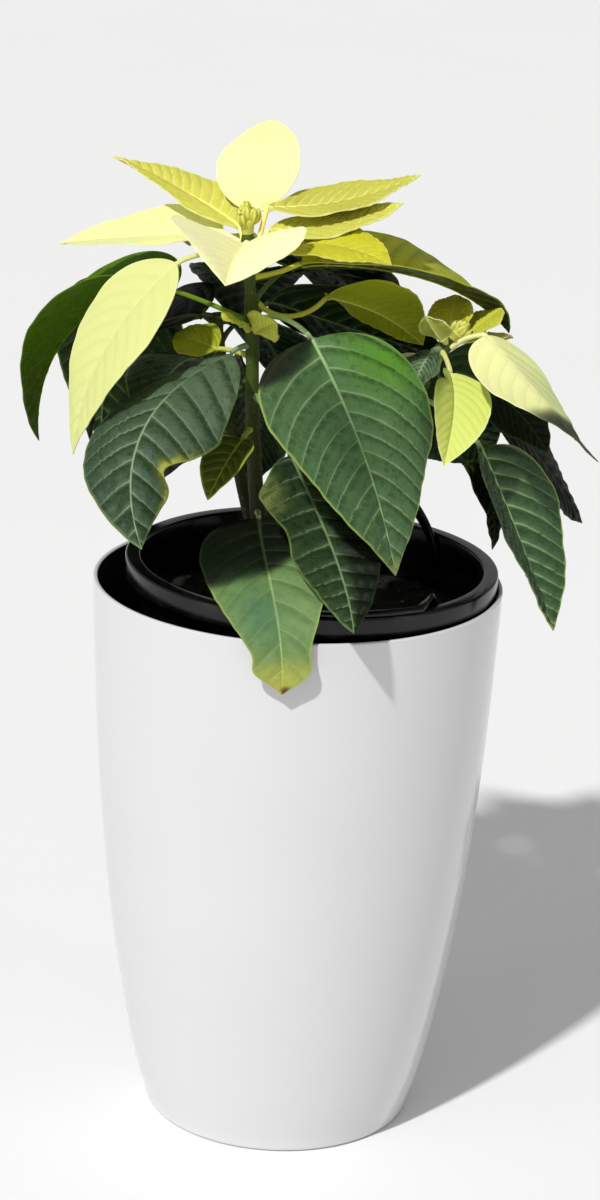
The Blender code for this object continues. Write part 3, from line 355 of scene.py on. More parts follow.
class Nodes:
    """Short calls that add and wire the nodes of one material."""

    def __init__(self, name):
        self.material = bpy.data.materials.new(name)
        self.material.use_nodes = True
        self.tree = self.material.node_tree
        self.shader = self.tree.nodes["Principled BSDF"]

    def wire(self, value, socket):
        """Link a socket, or set the socket's own value."""
        if isinstance(value, bpy.types.NodeSocket):
            self.tree.links.new(value, socket)
        elif isinstance(value, tuple) and len(value) < len(socket.default_value):
            socket.default_value = (*value, 1.0)
        else:
            socket.default_value = value

    def add(self, kind, output, inputs, **settings):
        """A node of a kind, with its settings and with its inputs by name or number."""
        node = self.tree.nodes.new("ShaderNode" + kind)
        for key, value in settings.items():
            setattr(node, key, value)
        for socket, value in inputs.items():
            self.wire(value, node.inputs[socket])
        return node.outputs[output]

    def math(self, operation, *values):
        """A step on numbers."""
        return self.add("Math", 0, dict(enumerate(values)), operation=operation)

    def times(self, a, b):
        return self.math("MULTIPLY", a, b)

    def plus(self, a, b):
        return self.math("ADD", a, b)

    def mix(self, share, low, high, blend="MIX"):
        """A colour between two by a share."""
        return self.add("Mix", 2, {0: share, 6: low, 7: high}, data_type="RGBA", blend_type=blend)

    def tint(self, colour, factor):
        """A colour times another."""
        return self.mix(1.0, colour, factor, "MULTIPLY")

    def span(self, value, low, high, start=0.0, end=1.0):
        """The value's smoothed place from low to high, as start to end."""
        inputs = dict(enumerate((value, low, high, start, end)))
        return self.add("MapRange", 0, inputs, interpolation_type="SMOOTHSTEP")

    def attribute(self, name, output="Fac"):
        """A value that the mesh holds per corner."""
        return self.add("Attribute", output, {}, attribute_name=name)

    def place(self):
        """Position on the object in metres."""
        return self.add("TexCoord", "Object", {})

    def part(self, vector, axis):
        """One axis of a vector."""
        return self.add("SeparateXYZ", axis, {0: vector})

    def stretch(self, *scale):
        """Position on the object, scaled by axis."""
        return self.add("Mapping", 0, {"Vector": self.place(), "Scale": scale})

    def noise(self, vector, scale, detail=3.0, rough=0.55):
        """Cloudy noise."""
        inputs = {"Vector": vector, "Scale": scale, "Detail": detail, "Roughness": rough}
        return self.add("TexNoise", "Fac", inputs)

    def cloud(self, scale, detail, rough=0.55):
        """Cloudy noise by the position on the object."""
        return self.noise(self.place(), scale, detail, rough)

    def cells(self, vector, scale, feature="DISTANCE_TO_EDGE"):
        """Distance to the border or the middle of irregular cells."""
        return self.add("TexVoronoi", "Distance", {"Vector": vector, "Scale": scale}, feature=feature)

    def bump(self, height, distance, strength):
        """Surface relief from a height."""
        normal = self.add("Bump", 0, {"Strength": strength, "Distance": distance, "Height": height})
        self.wire(normal, self.shader.inputs["Normal"])

    def finish(self, colour, rough, sheen=0.5):
        """The material with its colour, roughness and specular level."""
        self.wire(colour, self.shader.inputs["Base Color"])
        self.wire(rough, self.shader.inputs["Roughness"])
        self.wire(sheen, self.shader.inputs["Specular IOR Level"])
        return self.material


def placed(name, data):
    """A new object in the scene."""
    item = bpy.data.objects.new(name, data)
    bpy.context.scene.collection.objects.link(item)
    return item


class Body:
    """Corners, faces and values of one mesh, gathered shell by shell."""

    def __init__(self):
        self.corners = []
        self.faces = []
        self.values = {}
        self.count = 0

    def shell(self, corners, faces, **values):
        """Add one shell: corners in millimetres, faces, and values for each corner."""
        corners = np.asarray(corners, dtype=float)
        self.corners.append(corners)
        self.faces += [tuple(int(k) + self.count for k in face) for face in faces]
        for name, value in values.items():
            value = np.asarray(value, dtype=float)
            if value.ndim == 0 or len(value) != len(corners):
                value = np.broadcast_to(value, (len(corners), *value.shape))
            self.values.setdefault(name, []).append(value)
        self.count += len(corners)

    def loft(self, rings, **values):
        """Add a closed shell through rings of corners, with a flat face at each end."""
        total, count = rings.shape[:2]
        faces = []
        for start in range(0, (total - 1) * count, count):
            for k in range(count):
                a, b = start + k, start + (k + 1) % count
                faces.append((a, a + count, b + count, b))
        faces.append(tuple(range(count)))
        faces.append(tuple(range(total * count - 1, (total - 1) * count - 1, -1)))
        self.shell(rings.reshape(-1, 3), faces, **values)

    def build(self, name, materials, node=None, angle=50.0):
        """The piece, which rides on the root and stands for a CAD node."""
        mesh = bpy.data.meshes.new(name)
        mesh.from_pydata((np.vstack(self.corners) * MM).tolist(), [], self.faces)
        for key, parts in self.values.items():
            self.store(mesh, key, np.concatenate(parts))
        work = bmesh.new()
        work.from_mesh(mesh)
        bmesh.ops.recalc_face_normals(work, faces=work.faces)
        work.to_mesh(mesh)
        work.free()
        mesh.shade_smooth()
        mesh.set_sharp_from_angle(angle=math.radians(angle))
        piece = placed(name, mesh)
        for material in materials:
            mesh.materials.append(material)
        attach(piece, "root")
        if node:
            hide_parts(node)
        return piece

    @staticmethod
    def store(mesh, key, data):
        """Keep a number, a direction or a colour for each corner."""
        kind, field = ("FLOAT", "value") if data.ndim == 1 else ("FLOAT_COLOR", "color")
        if key == "flat":
            kind, field = "FLOAT_VECTOR", "vector"
        elif data.ndim == 2:
            data = np.concatenate([data, np.ones((len(data), 1))], 1)
        layer = mesh.attributes.new(key, kind, "POINT")
        layer.data.foreach_set(field, data.astype(np.float32).ravel())


def unit(rows):
    """Directions with a length of one."""
    return rows / np.linalg.norm(rows, axis=-1, keepdims=True)


def points_at(spots, places, line):
    """Points of a line at the spots, where its own points have the given places."""
    return np.stack([np.interp(spots, places, line[:, k]) for k in range(3)], -1)


def catmull_rom(points, steps):
    """A smooth line through the points, with the given steps from each to the next."""
    line = np.array(points, dtype=float)
    line = np.vstack([2 * line[0] - line[1], line, 2 * line[-1] - line[-2]])
    shares = (np.arange(steps) / steps)[:, None]
    runs = []
    for a, b, c, d in zip(line[:-3], line[1:-2], line[2:-1], line[3:]):
        linear = (c - a) * shares
        square = (2 * a - 5 * b + 4 * c - d) * shares ** 2
        cube = (3 * b - a - 3 * c + d) * shares ** 3
        runs.append(0.5 * (2 * b + linear + square + cube))
    runs.append(line[-2][None])
    return np.vstack(runs)


def leaned(corners):
    """Corners in the insert pot's frame, which leans, in the object's frame."""
    tilt = np.array(Euler((0.0, math.radians(LINER_LEAN), 0.0)).to_matrix())
    return corners @ tilt.T + np.array(LINER_PLACE)


def full_turn(count):
    """Angles of evenly spaced sides, in radians."""
    return np.arange(count) * 2 * math.pi / count


def turned_rings(profile, steps=TURN_STEPS):
    """Rings of a body turned about Z from (radius, height) points."""
    angle = full_turn(steps)
    circle = np.stack([np.cos(angle), np.sin(angle), np.zeros(steps)], -1)
    return np.array([circle * radius + np.array([0.0, 0.0, height]) for radius, height in profile])


def arc(centre, radius, start, end, steps=4):
    """Points of a rounded corner, from one angle in degrees to another."""
    turns = np.radians(np.linspace(start, end, steps + 1))
    return [(centre[0] + radius * math.cos(turn), centre[1] + radius * math.sin(turn)) for turn in turns]


def planter_radius(height):
    """Outer radius of the planter at a height."""
    line = catmull_rom(PLANTER_OUTLINE, 8)
    return float(np.interp(height / PLANTER_HEIGHT, line[:, 0], line[:, 1]))


def build_planter():
    """The outer pot: a tapered wall with a rounded foot and a thin rim, dark inside."""
    rim = planter_radius(PLANTER_HEIGHT)
    below = PLANTER_HEIGHT - PLANTER_RIM_ROUND
    levels = np.linspace(PLANTER_FOOT_ROUND, below, PLANTER_LEVELS)
    inner = [(planter_radius(level) - PLANTER_WALL, level) for level in levels if level > PLANTER_FLOOR]
    profile = [(1.0, PLANTER_FLOOR), (planter_radius(PLANTER_FLOOR) - PLANTER_WALL, PLANTER_FLOOR)]
    profile += inner
    dark = len(profile)
    profile += arc((rim - PLANTER_WALL + PLANTER_RIM_ROUND, below), PLANTER_RIM_ROUND, 180, 90)
    profile += arc((rim - PLANTER_RIM_ROUND, below), PLANTER_RIM_ROUND, 90, 0)
    profile += [(planter_radius(level), level) for level in levels[::-1]]
    foot = planter_radius(PLANTER_FOOT_ROUND) - PLANTER_FOOT_ROUND
    profile += arc((foot, PLANTER_FOOT_ROUND), PLANTER_FOOT_ROUND, 0, -90, 6)[1:]
    profile += [(1.0, 0.0)]
    body = Body()
    body.loft(turned_rings(profile))
    piece = body.build("planter_shell", [gloss_white(), inner_black()], "planter", 40)
    for face in piece.data.polygons:
        if face.index < dark * TURN_STEPS:
            face.material_index = 1


def liner_outer(height):
    """Outer radius of the insert pot's body at a height below its lip."""
    return LINER_MOUTH_RADIUS + (LINER_MOUTH_RADIUS - LINER_FOOT_RADIUS) * height / LINER_DEPTH


def liner_inner(height):
    """Inner radius of the insert pot's body at a height below its lip."""
    return liner_outer(height) - LINER_WALL


def build_liner(plastic):
    """The insert pot: a tapered body with a rounded lip and a short skirt hanging from it."""
    floor = -LINER_DEPTH + LINER_WALL
    shoulder = -LINER_LIP_ROUND
    skirt_inner = LINER_LIP_RADIUS - LINER_WALL
    levels = np.linspace(floor, shoulder, 24)
    profile = [(1.0, floor)] + [(liner_inner(level), level) for level in levels]
    profile += arc((liner_inner(0.0) + LINER_LIP_ROUND, shoulder), LINER_LIP_ROUND, 180, 90)[1:]
    profile += arc((LINER_LIP_RADIUS - LINER_LIP_ROUND, shoulder), LINER_LIP_ROUND, 90, 0)
    profile += [(LINER_LIP_RADIUS, -LINER_SKIRT + 0.4), (LINER_LIP_RADIUS - 0.4, -LINER_SKIRT)]
    profile += [(skirt_inner, -LINER_SKIRT), (skirt_inner, -LINER_WALL)]
    profile += [(liner_outer(-LINER_WALL) + 0.2, -LINER_WALL), (liner_outer(-8.0), -8.0)]
    profile += [(liner_outer(LINER_WAIST), LINER_WAIST), (LINER_FOOT_RADIUS, -LINER_DEPTH)]
    profile += [(1.0, -LINER_DEPTH)]
    body = Body()
    body.loft(leaned(turned_rings(profile)))
    body.build("liner_shell", [plastic], "liner", 40)


def on_circle(radius, degrees, height):
    """A point at a radius, compass direction and height."""
    angle = math.radians(degrees)
    return (radius * math.cos(angle), radius * math.sin(angle), height)


def raised_route(share, upper):
    """The standing handle: an arch that springs from inside the mouth and rises above it."""
    degrees = HANDLE_ARC[0] + (HANDLE_ARC[1] - HANDLE_ARC[0]) * share
    arch = math.sin(math.pi * share) ** 0.7
    height = HANDLE_SEAT + (HANDLE_RISE - HANDLE_SEAT) * arch
    height += HANDLE_DEEP / 2 if upper else -HANDLE_DEEP / 2
    below = min(height, 0.0)
    radius = liner_inner(below) - HANDLE_CLEAR - HANDLE_THICK / 2
    return on_circle(radius, degrees, height)


def folded_route(share, outer):
    """The folded handle: it lies flat on the lip and turns down inside the mouth at its ends."""
    degrees = -HANDLE_ARC[0] - (HANDLE_ARC[1] - HANDLE_ARC[0]) * share
    inward = min(share, 1.0 - share) / FOLD_SHARE
    climb = min(1.0, inward / 0.5)
    slide = min(1.0, max(0.0, (inward - 0.5) / 0.5))
    turn = math.radians(90 * (1.0 - 0.5 * climb - 0.5 * slide))
    flat = (LINER_MOUTH_RADIUS + LINER_LIP_RADIUS) / 2 - 0.2
    upright = liner_inner(FOLD_SEAT) - HANDLE_CLEAR - HANDLE_THICK / 2
    lying = GAP + HANDLE_THICK / 2
    radius = upright + (flat - upright) * slide
    height = FOLD_SEAT + (lying + FOLD_STEP - FOLD_SEAT) * climb - FOLD_STEP * slide
    half = HANDLE_FLAT_DEEP / 2 if outer else -HANDLE_FLAT_DEEP / 2
    return on_circle(radius + half * math.cos(turn), degrees, height + half * math.sin(turn))


def build_strap(name, route, node, plastic):
    """A strap with rounded edges along the route of its two edges."""
    shares = np.linspace(0.0, 1.0, HANDLE_STEPS + 1)
    low = np.array([route(share, False) for share in shares])
    high = np.array([route(share, True) for share in shares])
    centre = (low + high) / 2
    width = np.linalg.norm(high - low, axis=1)
    across = unit(high - low)
    normal = unit(np.cross(np.gradient(centre, axis=0), across))
    thick = HANDLE_THICK / 2 - HANDLE_ROUND
    section = []
    for sign_x, sign_y, start in ((1, 1, 0), (-1, 1, 90), (-1, -1, 180), (1, -1, 270)):
        for x, y in arc((0.0, 0.0), HANDLE_ROUND, start, start + 90, 3):
            section.append((sign_x, x, sign_y * thick + y))
    rings = []
    for spot, side, out, full in zip(centre, across, normal, width):
        reach = full / 2 - HANDLE_ROUND
        rings.append([spot + side * (hand * reach + x) + out * y for hand, x, y in section])
    body = Body()
    body.loft(leaned(np.array(rings)))
    body.build(name, [plastic], node, 50)


def soil_height(x, y):
    """Unevenness of the soil surface at a place, in millimetres."""
    wave = np.sin(0.21 * x + 1.0) * np.cos(0.17 * y) + 0.6 * np.sin(0.38 * y + 0.13 * x)
    grit = [noise.fractal(Vector((a * 0.16, b * 0.16, 3.1)), 0.9, 2.1, 4)
            for a, b in zip(np.ravel(x), np.ravel(y))]
    return SOIL_BUMP * wave + SOIL_GRIT * np.array(grit).reshape(np.shape(x))


def build_soil():
    """The soil: it fills the insert pot, with a rough top, and crumbs lie on it."""
    floor = -LINER_DEPTH + LINER_WALL + GAP
    edge = liner_inner(-SOIL_DROP) - GAP
    radii = np.linspace(0.8, edge, SOIL_RINGS)
    rings = turned_rings([(radius, -SOIL_DROP) for radius in radii])
    inside = np.clip((edge - 1.0 - radii) / 4.0, 0.0, 1.0)[:, None]
    rings[:, :, 2] += soil_height(rings[:, :, 0], rings[:, :, 1]) * inside
    low = turned_rings([(liner_inner(floor) - GAP, floor), (1.0, floor)])
    body = Body()
    body.loft(leaned(np.concatenate([rings, low])))
    body.build("soil_bed", [soil_material()], "soil", 60)
    build_crumbs(edge)


def crumb_shape(draw, size):
    """Corners and faces of one crumb, an uneven lump."""
    work = bmesh.new()
    bmesh.ops.create_icosphere(work, subdivisions=2, radius=1.0)
    squash = Vector((draw.uniform(0.7, 1.5), draw.uniform(0.6, 1.1), draw.uniform(0.4, 0.8))) * size
    turn = Euler([draw.uniform(-0.5, 0.5), draw.uniform(-0.5, 0.5), draw.uniform(0, 6.28)]).to_matrix()
    shift = Vector((draw.uniform(0, 40), 0.0, 0.0))
    corners = []
    for corner in work.verts:
        swell = 1.0 + 0.35 * noise.noise(corner.co * 1.4 + shift)
        lump = Vector([a * b for a, b in zip(corner.co * swell, squash)])
        corners.append(turn @ lump)
    faces = [[corner.index for corner in face.verts] for face in work.faces]
    work.free()
    return np.array(corners), faces


def build_crumbs(edge):
    """Crumbs of peat, bark and pale grit, half sunk in the soil's surface."""
    draw = random.Random(7)
    body = Body()
    for _ in range(CRUMBS):
        radius = (edge - 4.0) * math.sqrt(draw.random())
        turn = draw.uniform(0.0, 2 * math.pi)
        size = CRUMB_SIZE[0] + (CRUMB_SIZE[1] - CRUMB_SIZE[0]) * draw.random() ** 2.5
        corners, faces = crumb_shape(draw, size)
        x, y = radius * math.cos(turn), radius * math.sin(turn)
        height = float(soil_height(np.array([x]), np.array([y]))[0])
        spot = np.array([x, y, -SOIL_DROP + height + 0.15 * size])
        body.shell(leaned(corners + spot), faces, tone=draw.random())
    body.build("soil_crumbs", [crumb_material()], None, 40)


def stem_line(stem):
    """Centreline of a stem and its radius at each point."""
    line = catmull_rom(STEMS[stem]["points"], STEM_STEPS)
    foot, top = STEMS[stem]["radius"]
    return line, np.linspace(foot, top, len(line))


def fine_stem(stem):
    """The stem's line and radius with more points, swollen where a stalk leaves it."""
    line, radii = stem_line(stem)
    steps = np.linspace(0, len(line) - 1, (len(line) - 1) * STEM_FINE + 1)
    places = np.arange(len(line))
    fine = points_at(steps, places, line)
    fine[1:-1] = (fine[:-2] + 2 * fine[1:-1] + fine[2:]) / 4
    radius = np.interp(steps, places, radii)
    for leaf in BLADES.values():
        if leaf["stem"] == stem:
            near = np.exp(-((fine[:, 2] - leaf["height"]) / NODE_REACH) ** 2)
            radius = radius + NODE_SWELL * near
    return fine, radius


def line_frames(line):
    """Two directions square to a line at each of its points."""
    along = unit(np.gradient(line, axis=0))
    side = unit(np.cross(along, (0.0, 1.0, 0.0)))
    return side, np.cross(along, side)


def build_stems():
    """The stems: uneven round sections with swollen nodes, three shells grown together."""
    body = Body()
    for number, stem in enumerate(STEMS):
        line, radius = fine_stem(stem)
        side, other = line_frames(line)
        angle = full_turn(STEM_SIDES)
        ripple = 1 + 0.02 * np.sin(3 * angle[None, :] + line[:, 2:3] * 0.05 + number)
        ripple = ripple + 0.012 * np.sin(7 * angle[None, :] - line[:, 2:3] * 0.11)
        reach = (radius[:, None] * ripple)[:, :, None]
        circle = np.cos(angle)[None, :, None] * side[:, None, :]
        circle = circle + np.sin(angle)[None, :, None] * other[:, None, :]
        body.loft(line[:, None, :] + reach * circle)
    body.build("stems_wood", [stem_material()], "stems", 60)


def bud_rings(centre, axis, opened):
    """Rings of one fluted bud; an opened one has a hollow with a rim at its top."""
    outer = np.linspace(0.0, BUD_MOUTH if opened else 1.0, BUD_RINGS - BUD_INNER * opened)
    width = np.sin(math.pi * np.clip(outer, 0.02, 0.98)) ** 0.6
    height, hollow = outer, np.zeros(len(outer))
    if opened:
        height = np.concatenate([outer, np.linspace(BUD_MOUTH - 0.01, 0.45, BUD_INNER)])
        width = np.concatenate([width, np.linspace(0.78, 0.12, BUD_INNER) * width[-1]])
        hollow = np.concatenate([hollow, np.linspace(0.4, 1.0, BUD_INNER)])
    angle = full_turn(BUD_SIDES)
    waves = np.broadcast_to(np.cos(BUD_FLUTES * angle)[None, :], (len(height), BUD_SIDES))
    flute = 1 + FLUTE_DEPTH * waves * np.sin(math.pi * height)[:, None]
    reach = BUD_RADIUS * width[:, None] * flute
    local = np.stack([reach * np.cos(angle), reach * np.sin(angle),
                      np.broadcast_to((height[:, None] - 0.5) * BUD_LENGTH, reach.shape)], -1)
    turn = np.array(Vector((0.0, 0.0, 1.0)).rotation_difference(axis).to_matrix())
    rings = local @ turn.T + np.array(centre)
    return rings, np.repeat(hollow, BUD_SIDES), waves.ravel()


def build_cluster(name, stem, buds, spread, tall):
    """A flower cluster: fluted buds in a spiral on a small dome, two of each three opened."""
    line, _ = stem_line(stem)
    end = Vector(line[-1])
    axis = Vector(line[-1] - line[-2]).normalized()
    up = Vector((0.0, 0.0, 1.0)).rotation_difference(axis)
    seat = end + axis * GAP
    body = Body()
    foot, top = DOME_RADIUS
    depth = tall * DOME_SHARE
    profile = [(foot * 0.9, -1.0), (foot, 0.0), (foot + 0.4, depth * 0.4), (top, depth * 0.8),
               (top * 0.9, depth), (top * 0.5, depth * 1.1), (0.2, depth * 1.15)]
    dome = turned_rings(profile, BUD_SIDES)
    turn = np.array(up.to_matrix())
    body.loft(dome @ turn.T + np.array(seat), hollow=0.0, groove=0.0)
    for number in range(buds):
        share = math.sqrt(number / buds)
        angle = math.radians(GOLDEN_TURN * number)
        side = Vector((math.cos(angle), math.sin(angle), 0.0)) * spread * share
        height = tall * (BUD_SEAT - BUD_DROP * share)
        centre = seat + up @ (side + Vector((0.0, 0.0, height)))
        lean = (up @ (side * BUD_LEAN + Vector((0.0, 0.0, 1.0)))).normalized()
        rings, hollow, groove = bud_rings(centre, lean, number % 3 != 2)
        body.loft(rings, hollow=hollow, groove=groove)
    body.build(name + "_buds", [flower_material()], name, 60)


def heading(turn, pitch):
    """Unit directions for compass turns and pitches in degrees."""
    turn, pitch = np.broadcast_arrays(np.radians(turn), np.radians(pitch))
    return np.stack([np.cos(pitch) * np.cos(turn), np.cos(pitch) * np.sin(turn), np.sin(pitch)], -1)


def attachment(stem, height, turn, rise):
    """Where a stalk with this direction starts, just off the stem's surface at a height."""
    line, radii = stem_line(stem)
    spot = points_at(height, line[:, 2], line)
    radius = float(np.interp(height, line[:, 2], radii))
    after = int(np.clip(np.searchsorted(line[:, 2], height), 1, len(line) - 1))
    along = unit(line[after] - line[after - 1])
    out = heading(turn, 0.0)
    out = unit(out - (out @ along) * along)
    tilt = math.sqrt(max(0.0, 1.0 - float(heading(turn, rise) @ out) ** 2))
    return spot + out * (radius + GAP + STALK_RADIUS * tilt)


def frames(turn, pitch, roll):
    """Sideways and upward directions of a section, rolled about its line."""
    along = heading(turn, pitch)
    angle = np.radians(turn)
    side = np.stack([-np.sin(angle), np.cos(angle), 0 * angle], -1)
    up = np.cross(along, side)
    lean = np.radians(roll)[:, None]
    return side * np.cos(lean) + up * np.sin(lean), up * np.cos(lean) - side * np.sin(lean)


def follow(start, turn, pitch, length):
    """Points of a line from start, through equal runs with the given directions."""
    runs = heading(turn, pitch) * (length / len(pitch))
    return np.vstack([start, start + np.cumsum(runs, 0)])


def half_section(fold, curl, shares):
    """Reach and rise of half a section at shares of its width, from the slope's integral."""
    fine = np.linspace(0.0, 1.0, 61)
    slope = np.radians(fold - curl * fine)
    middle = (slope[1:] + slope[:-1]) / 2
    reach = np.concatenate([[0.0], np.cumsum(np.cos(middle))]) / 60
    rise = np.concatenate([[0.0], np.cumsum(np.sin(middle))]) / 60
    return np.interp(shares, fine, reach), np.interp(shares, fine, rise)


def stalk_rings(start, turn, length, pitches, roll, columns):
    """Round sections of the stalk, which flares where it meets the stem."""
    shares = np.linspace(0.0, 1.0, STALK_RINGS + 1)
    middle = (shares[1:] + shares[:-1]) / 2
    spread = pitches[1] - pitches[0]
    points = follow(start, turn, pitches[0] + spread * middle, length)
    side, up = frames(np.full(STALK_RINGS + 1, float(turn)), pitches[0] + spread * shares, roll * shares)
    sunk = points.copy()
    sunk[0] -= heading(turn, pitches[0]) * STALK_SUNK
    angle = math.pi - (np.arange(columns + 1) + 0.5) * math.pi / (columns + 1)
    radius = (STALK_RADIUS * (1 + 0.45 * np.exp(-shares * length / 2.5)))[:, None, None]
    across = radius * np.cos(angle)[None, :, None] * side[:, None, :]
    above = radius * np.sin(angle)[None, :, None] * up[:, None, :]
    centre = sunk[:, None, :]
    rings = np.concatenate([centre + across + above, (centre + across - above)[:, ::-1]], 1)
    return rings[:-1], points[-1]


def relief(leaf, shares, across, half, draw):
    """Lift of the blade's surface in millimetres, and the phase of its side veins before and
    after the right half's veins are set between the left half's."""
    length = leaf["size"][0]
    place = across * half
    slant = np.where(across < 0, *leaf["slant"]) * (SLANT_START + SLANT_GAIN * shares)
    reach = np.abs(place) / length
    start = shares - slant * reach - leaf["bend"] * reach ** 2
    uneven = 0.12 * np.sin(2 * math.pi * 1.7 * start + draw.uniform(0, 6)) / leaf["veins"]
    phase = (start + uneven) * leaf["veins"] + 20.0
    staggered = phase + 0.5 * (across > 0)
    window = np.clip(5 * np.abs(across) * (1.0 - np.abs(across)), 0.0, 1.0)
    window = window * np.clip(9 * shares * (1 - shares), 0.0, 1.0)
    lift = leaf["pucker"] * (np.abs(np.sin(math.pi * staggered)) ** 0.8 - 0.62) * window
    a, b, c, d = (draw.uniform(0, 6.28) for _ in range(4))
    small = np.sin(place * 0.75 + 4.0 * np.sin(shares * 15 + a))
    small = small * np.sin(shares * length * 0.62 + b + place * 0.3)
    lift = lift + BUMP_SHARE * leaf["pucker"] * small * window
    edge = np.abs(across) ** 2.5 * np.clip(8 * shares * (1 - shares), 0.0, 1.0)
    roll = np.sin(2 * math.pi * (2.3 * shares) + np.where(across < 0, c, d))
    ruffle = 0.35 * np.sin(2 * math.pi * phase * 0.5 + c)
    lift = lift + leaf["wave"] * (roll + ruffle) * edge
    groove = GROOVE_DEPTH * np.exp(-(place / 1.3) ** 2) * np.clip(6 * (1 - shares), 0.0, 1.0)
    return lift - groove, phase, staggered


def tinted(base, leaf, shares, across, full):
    """A colour at each corner, turned towards the blade's patches by up to a share."""
    colour = np.broadcast_to(np.array(base), (*shares.shape, 3)).copy()
    for along, side, reach_along, reach_across, tint, hardness in leaf["patches"]:
        far = ((shares - along) / reach_along) ** 2 + ((across - side) / reach_across) ** 2
        weight = full * np.exp(-far ** hardness)
        colour += (np.array(tint) - colour) * weight[..., None]
    return colour


def midrib_line(leaf, base, shares):
    """The midrib's points at shares of its length, and the sections' sideways and upward
    directions there."""
    fine = np.linspace(0.0, 1.0, LINE_STEPS + 1)
    middle = (fine[1:] + fine[:-1]) / 2
    turn, sweep, late = leaf["turn"], leaf["sweep"], leaf["late"]
    pitch, spread = leaf["pitch"][0], leaf["pitch"][1] - leaf["pitch"][0]
    roll, twist = leaf["roll"][0], leaf["roll"][1] - leaf["roll"][0]
    line = follow(base, turn + sweep * middle, pitch + spread * middle ** late, leaf["size"][0])
    centre = points_at(shares, fine, line)
    return centre, *frames(turn + sweep * shares, pitch + spread * shares ** late, roll + twist * shares)


def half_widths(leaf, shares, across):
    """Half the width at each corner, with the blade's narrower and wider places."""
    rise, fall = OUTLINES[leaf["outline"]]["rise"], OUTLINES[leaf["outline"]]["fall"]
    peak = rise / (rise + fall)
    full = shares ** rise * (1 - shares) ** fall
    full = full / (peak ** rise * (1 - peak) ** fall)
    half = np.maximum(full * leaf["size"][1] / 2, TIP_WIDTH / 2)
    half = np.maximum(half, STALK_RADIUS * np.exp(-shares * 60))
    spans = np.repeat(half[:, None], len(across), 1)
    for hand, spot, reach, share in leaf["cuts"]:
        bump = share * np.exp(-((shares - spot) / reach) ** 2)
        spans[:, np.sign(across) == hand] *= (1 + bump)[:, None]
    return spans


def thickness(leaf, shares, across, place, staggered, fade):
    """Thickness at each corner, more at the midrib, along the side veins and at the base."""
    ridge = np.exp(-(place / (0.8 + 1.2 * (1 - shares))) ** 2)
    taper = np.clip(1.4 * (1 - shares), 0.0, 1.0)
    near = np.abs((staggered + 0.5) % 1.0 - 0.5) * leaf["size"][0] / leaf["veins"]
    depth = BLADE_THICK + (MIDRIB_THICK - BLADE_THICK) * ridge * taper
    depth = depth + VEIN_THICK * np.exp(-(near / 0.9) ** 2) * (1 - np.abs(across)) * fade
    return depth + BASE_THICK * np.exp(-shares * 40)


def blade_sheet(name, base, leaf):
    """Corners of a blade's upper and lower side, with their shares along and across it and the
    values that the material reads."""
    shape = OUTLINES[leaf["outline"]]
    draw = random.Random(name)
    steps = np.linspace(0.0, 1.0, shape["rings"] + 1)
    along = 0.12 * steps + 0.88 * (0.5 - 0.5 * np.cos(math.pi * steps))
    aside = np.linspace(-1.0, 1.0, shape["columns"] + 1)
    centre, side, up = (rows[:, None, :] for rows in midrib_line(leaf, base, along))
    reach, rise = half_section(leaf["fold"], leaf["curl"], np.abs(aside))
    spans = half_widths(leaf, along, aside)
    shares, across = np.meshgrid(along, aside, indexing="ij")
    lift, phase, staggered = relief(leaf, shares, across, spans, draw)
    spans = spans * (1 + SCALLOP * np.cos(2 * math.pi * staggered) * np.abs(across) ** 4)
    fade = np.clip(spans / 4.0, 0.0, 1.0)
    upper = centre + (spans * reach * np.sign(aside))[:, :, None] * side
    upper = upper + (spans * rise + lift * fade)[:, :, None] * up
    place = across * spans
    lower = upper - thickness(leaf, shares, across, place, staggered, fade)[:, :, None] * up
    values = dict(
        phase=phase, across=np.abs(across), edge=(1 - np.abs(across)) * spans,
        rib=np.abs(place) / (0.35 + 0.85 * (1 - shares)),
        flat=np.stack([place, shares * leaf["size"][0], np.full_like(place, draw.uniform(0, 90))], -1))
    return upper, lower, shares, across, values


def paired(above, below):
    """Values of a section's upper side followed by its lower side, the other way round."""
    return np.concatenate([above, below[:, ::-1]], 1)


def with_stalk(rings, above, below, plain):
    """Values of all corners: a plain one on the stalk, then both sides of the blade."""
    both = paired(above, below)
    before = np.broadcast_to(np.array(plain, dtype=float), (rings, *both.shape[1:]))
    return np.concatenate([before, both]).reshape(-1, *both.shape[2:])


def build_blade(name, leaf, material):
    """A leaf or bract with its stalk, as one thin closed sheet."""
    pitches = leaf["stalk_pitch"]
    columns = OUTLINES[leaf["outline"]]["columns"]
    start = attachment(leaf["stem"], leaf["height"], leaf["turn"], pitches[0])
    stalk, base = stalk_rings(start, leaf["turn"], leaf["stalk"], pitches, leaf["roll"][0], columns)
    upper, lower, shares, across, values = blade_sheet(name, base, leaf)
    data = dict(clear=leaf["clear"], quilt=leaf["quilt"], vein_gap=leaf["size"][0] / leaf["veins"])
    for key, grid in values.items():
        data[key] = with_stalk(len(stalk), grid, grid, STALK_VALUES[key])
    for key, other, full in TINTS:
        sides = (tinted(leaf[part], leaf, shares, across, full) for part in (key, other))
        data[key] = with_stalk(len(stalk), *sides, leaf["vein"])
    body = Body()
    body.loft(np.concatenate([stalk, paired(upper, lower)]), **data)
    body.build(name + "_blade", [material], name, 60)


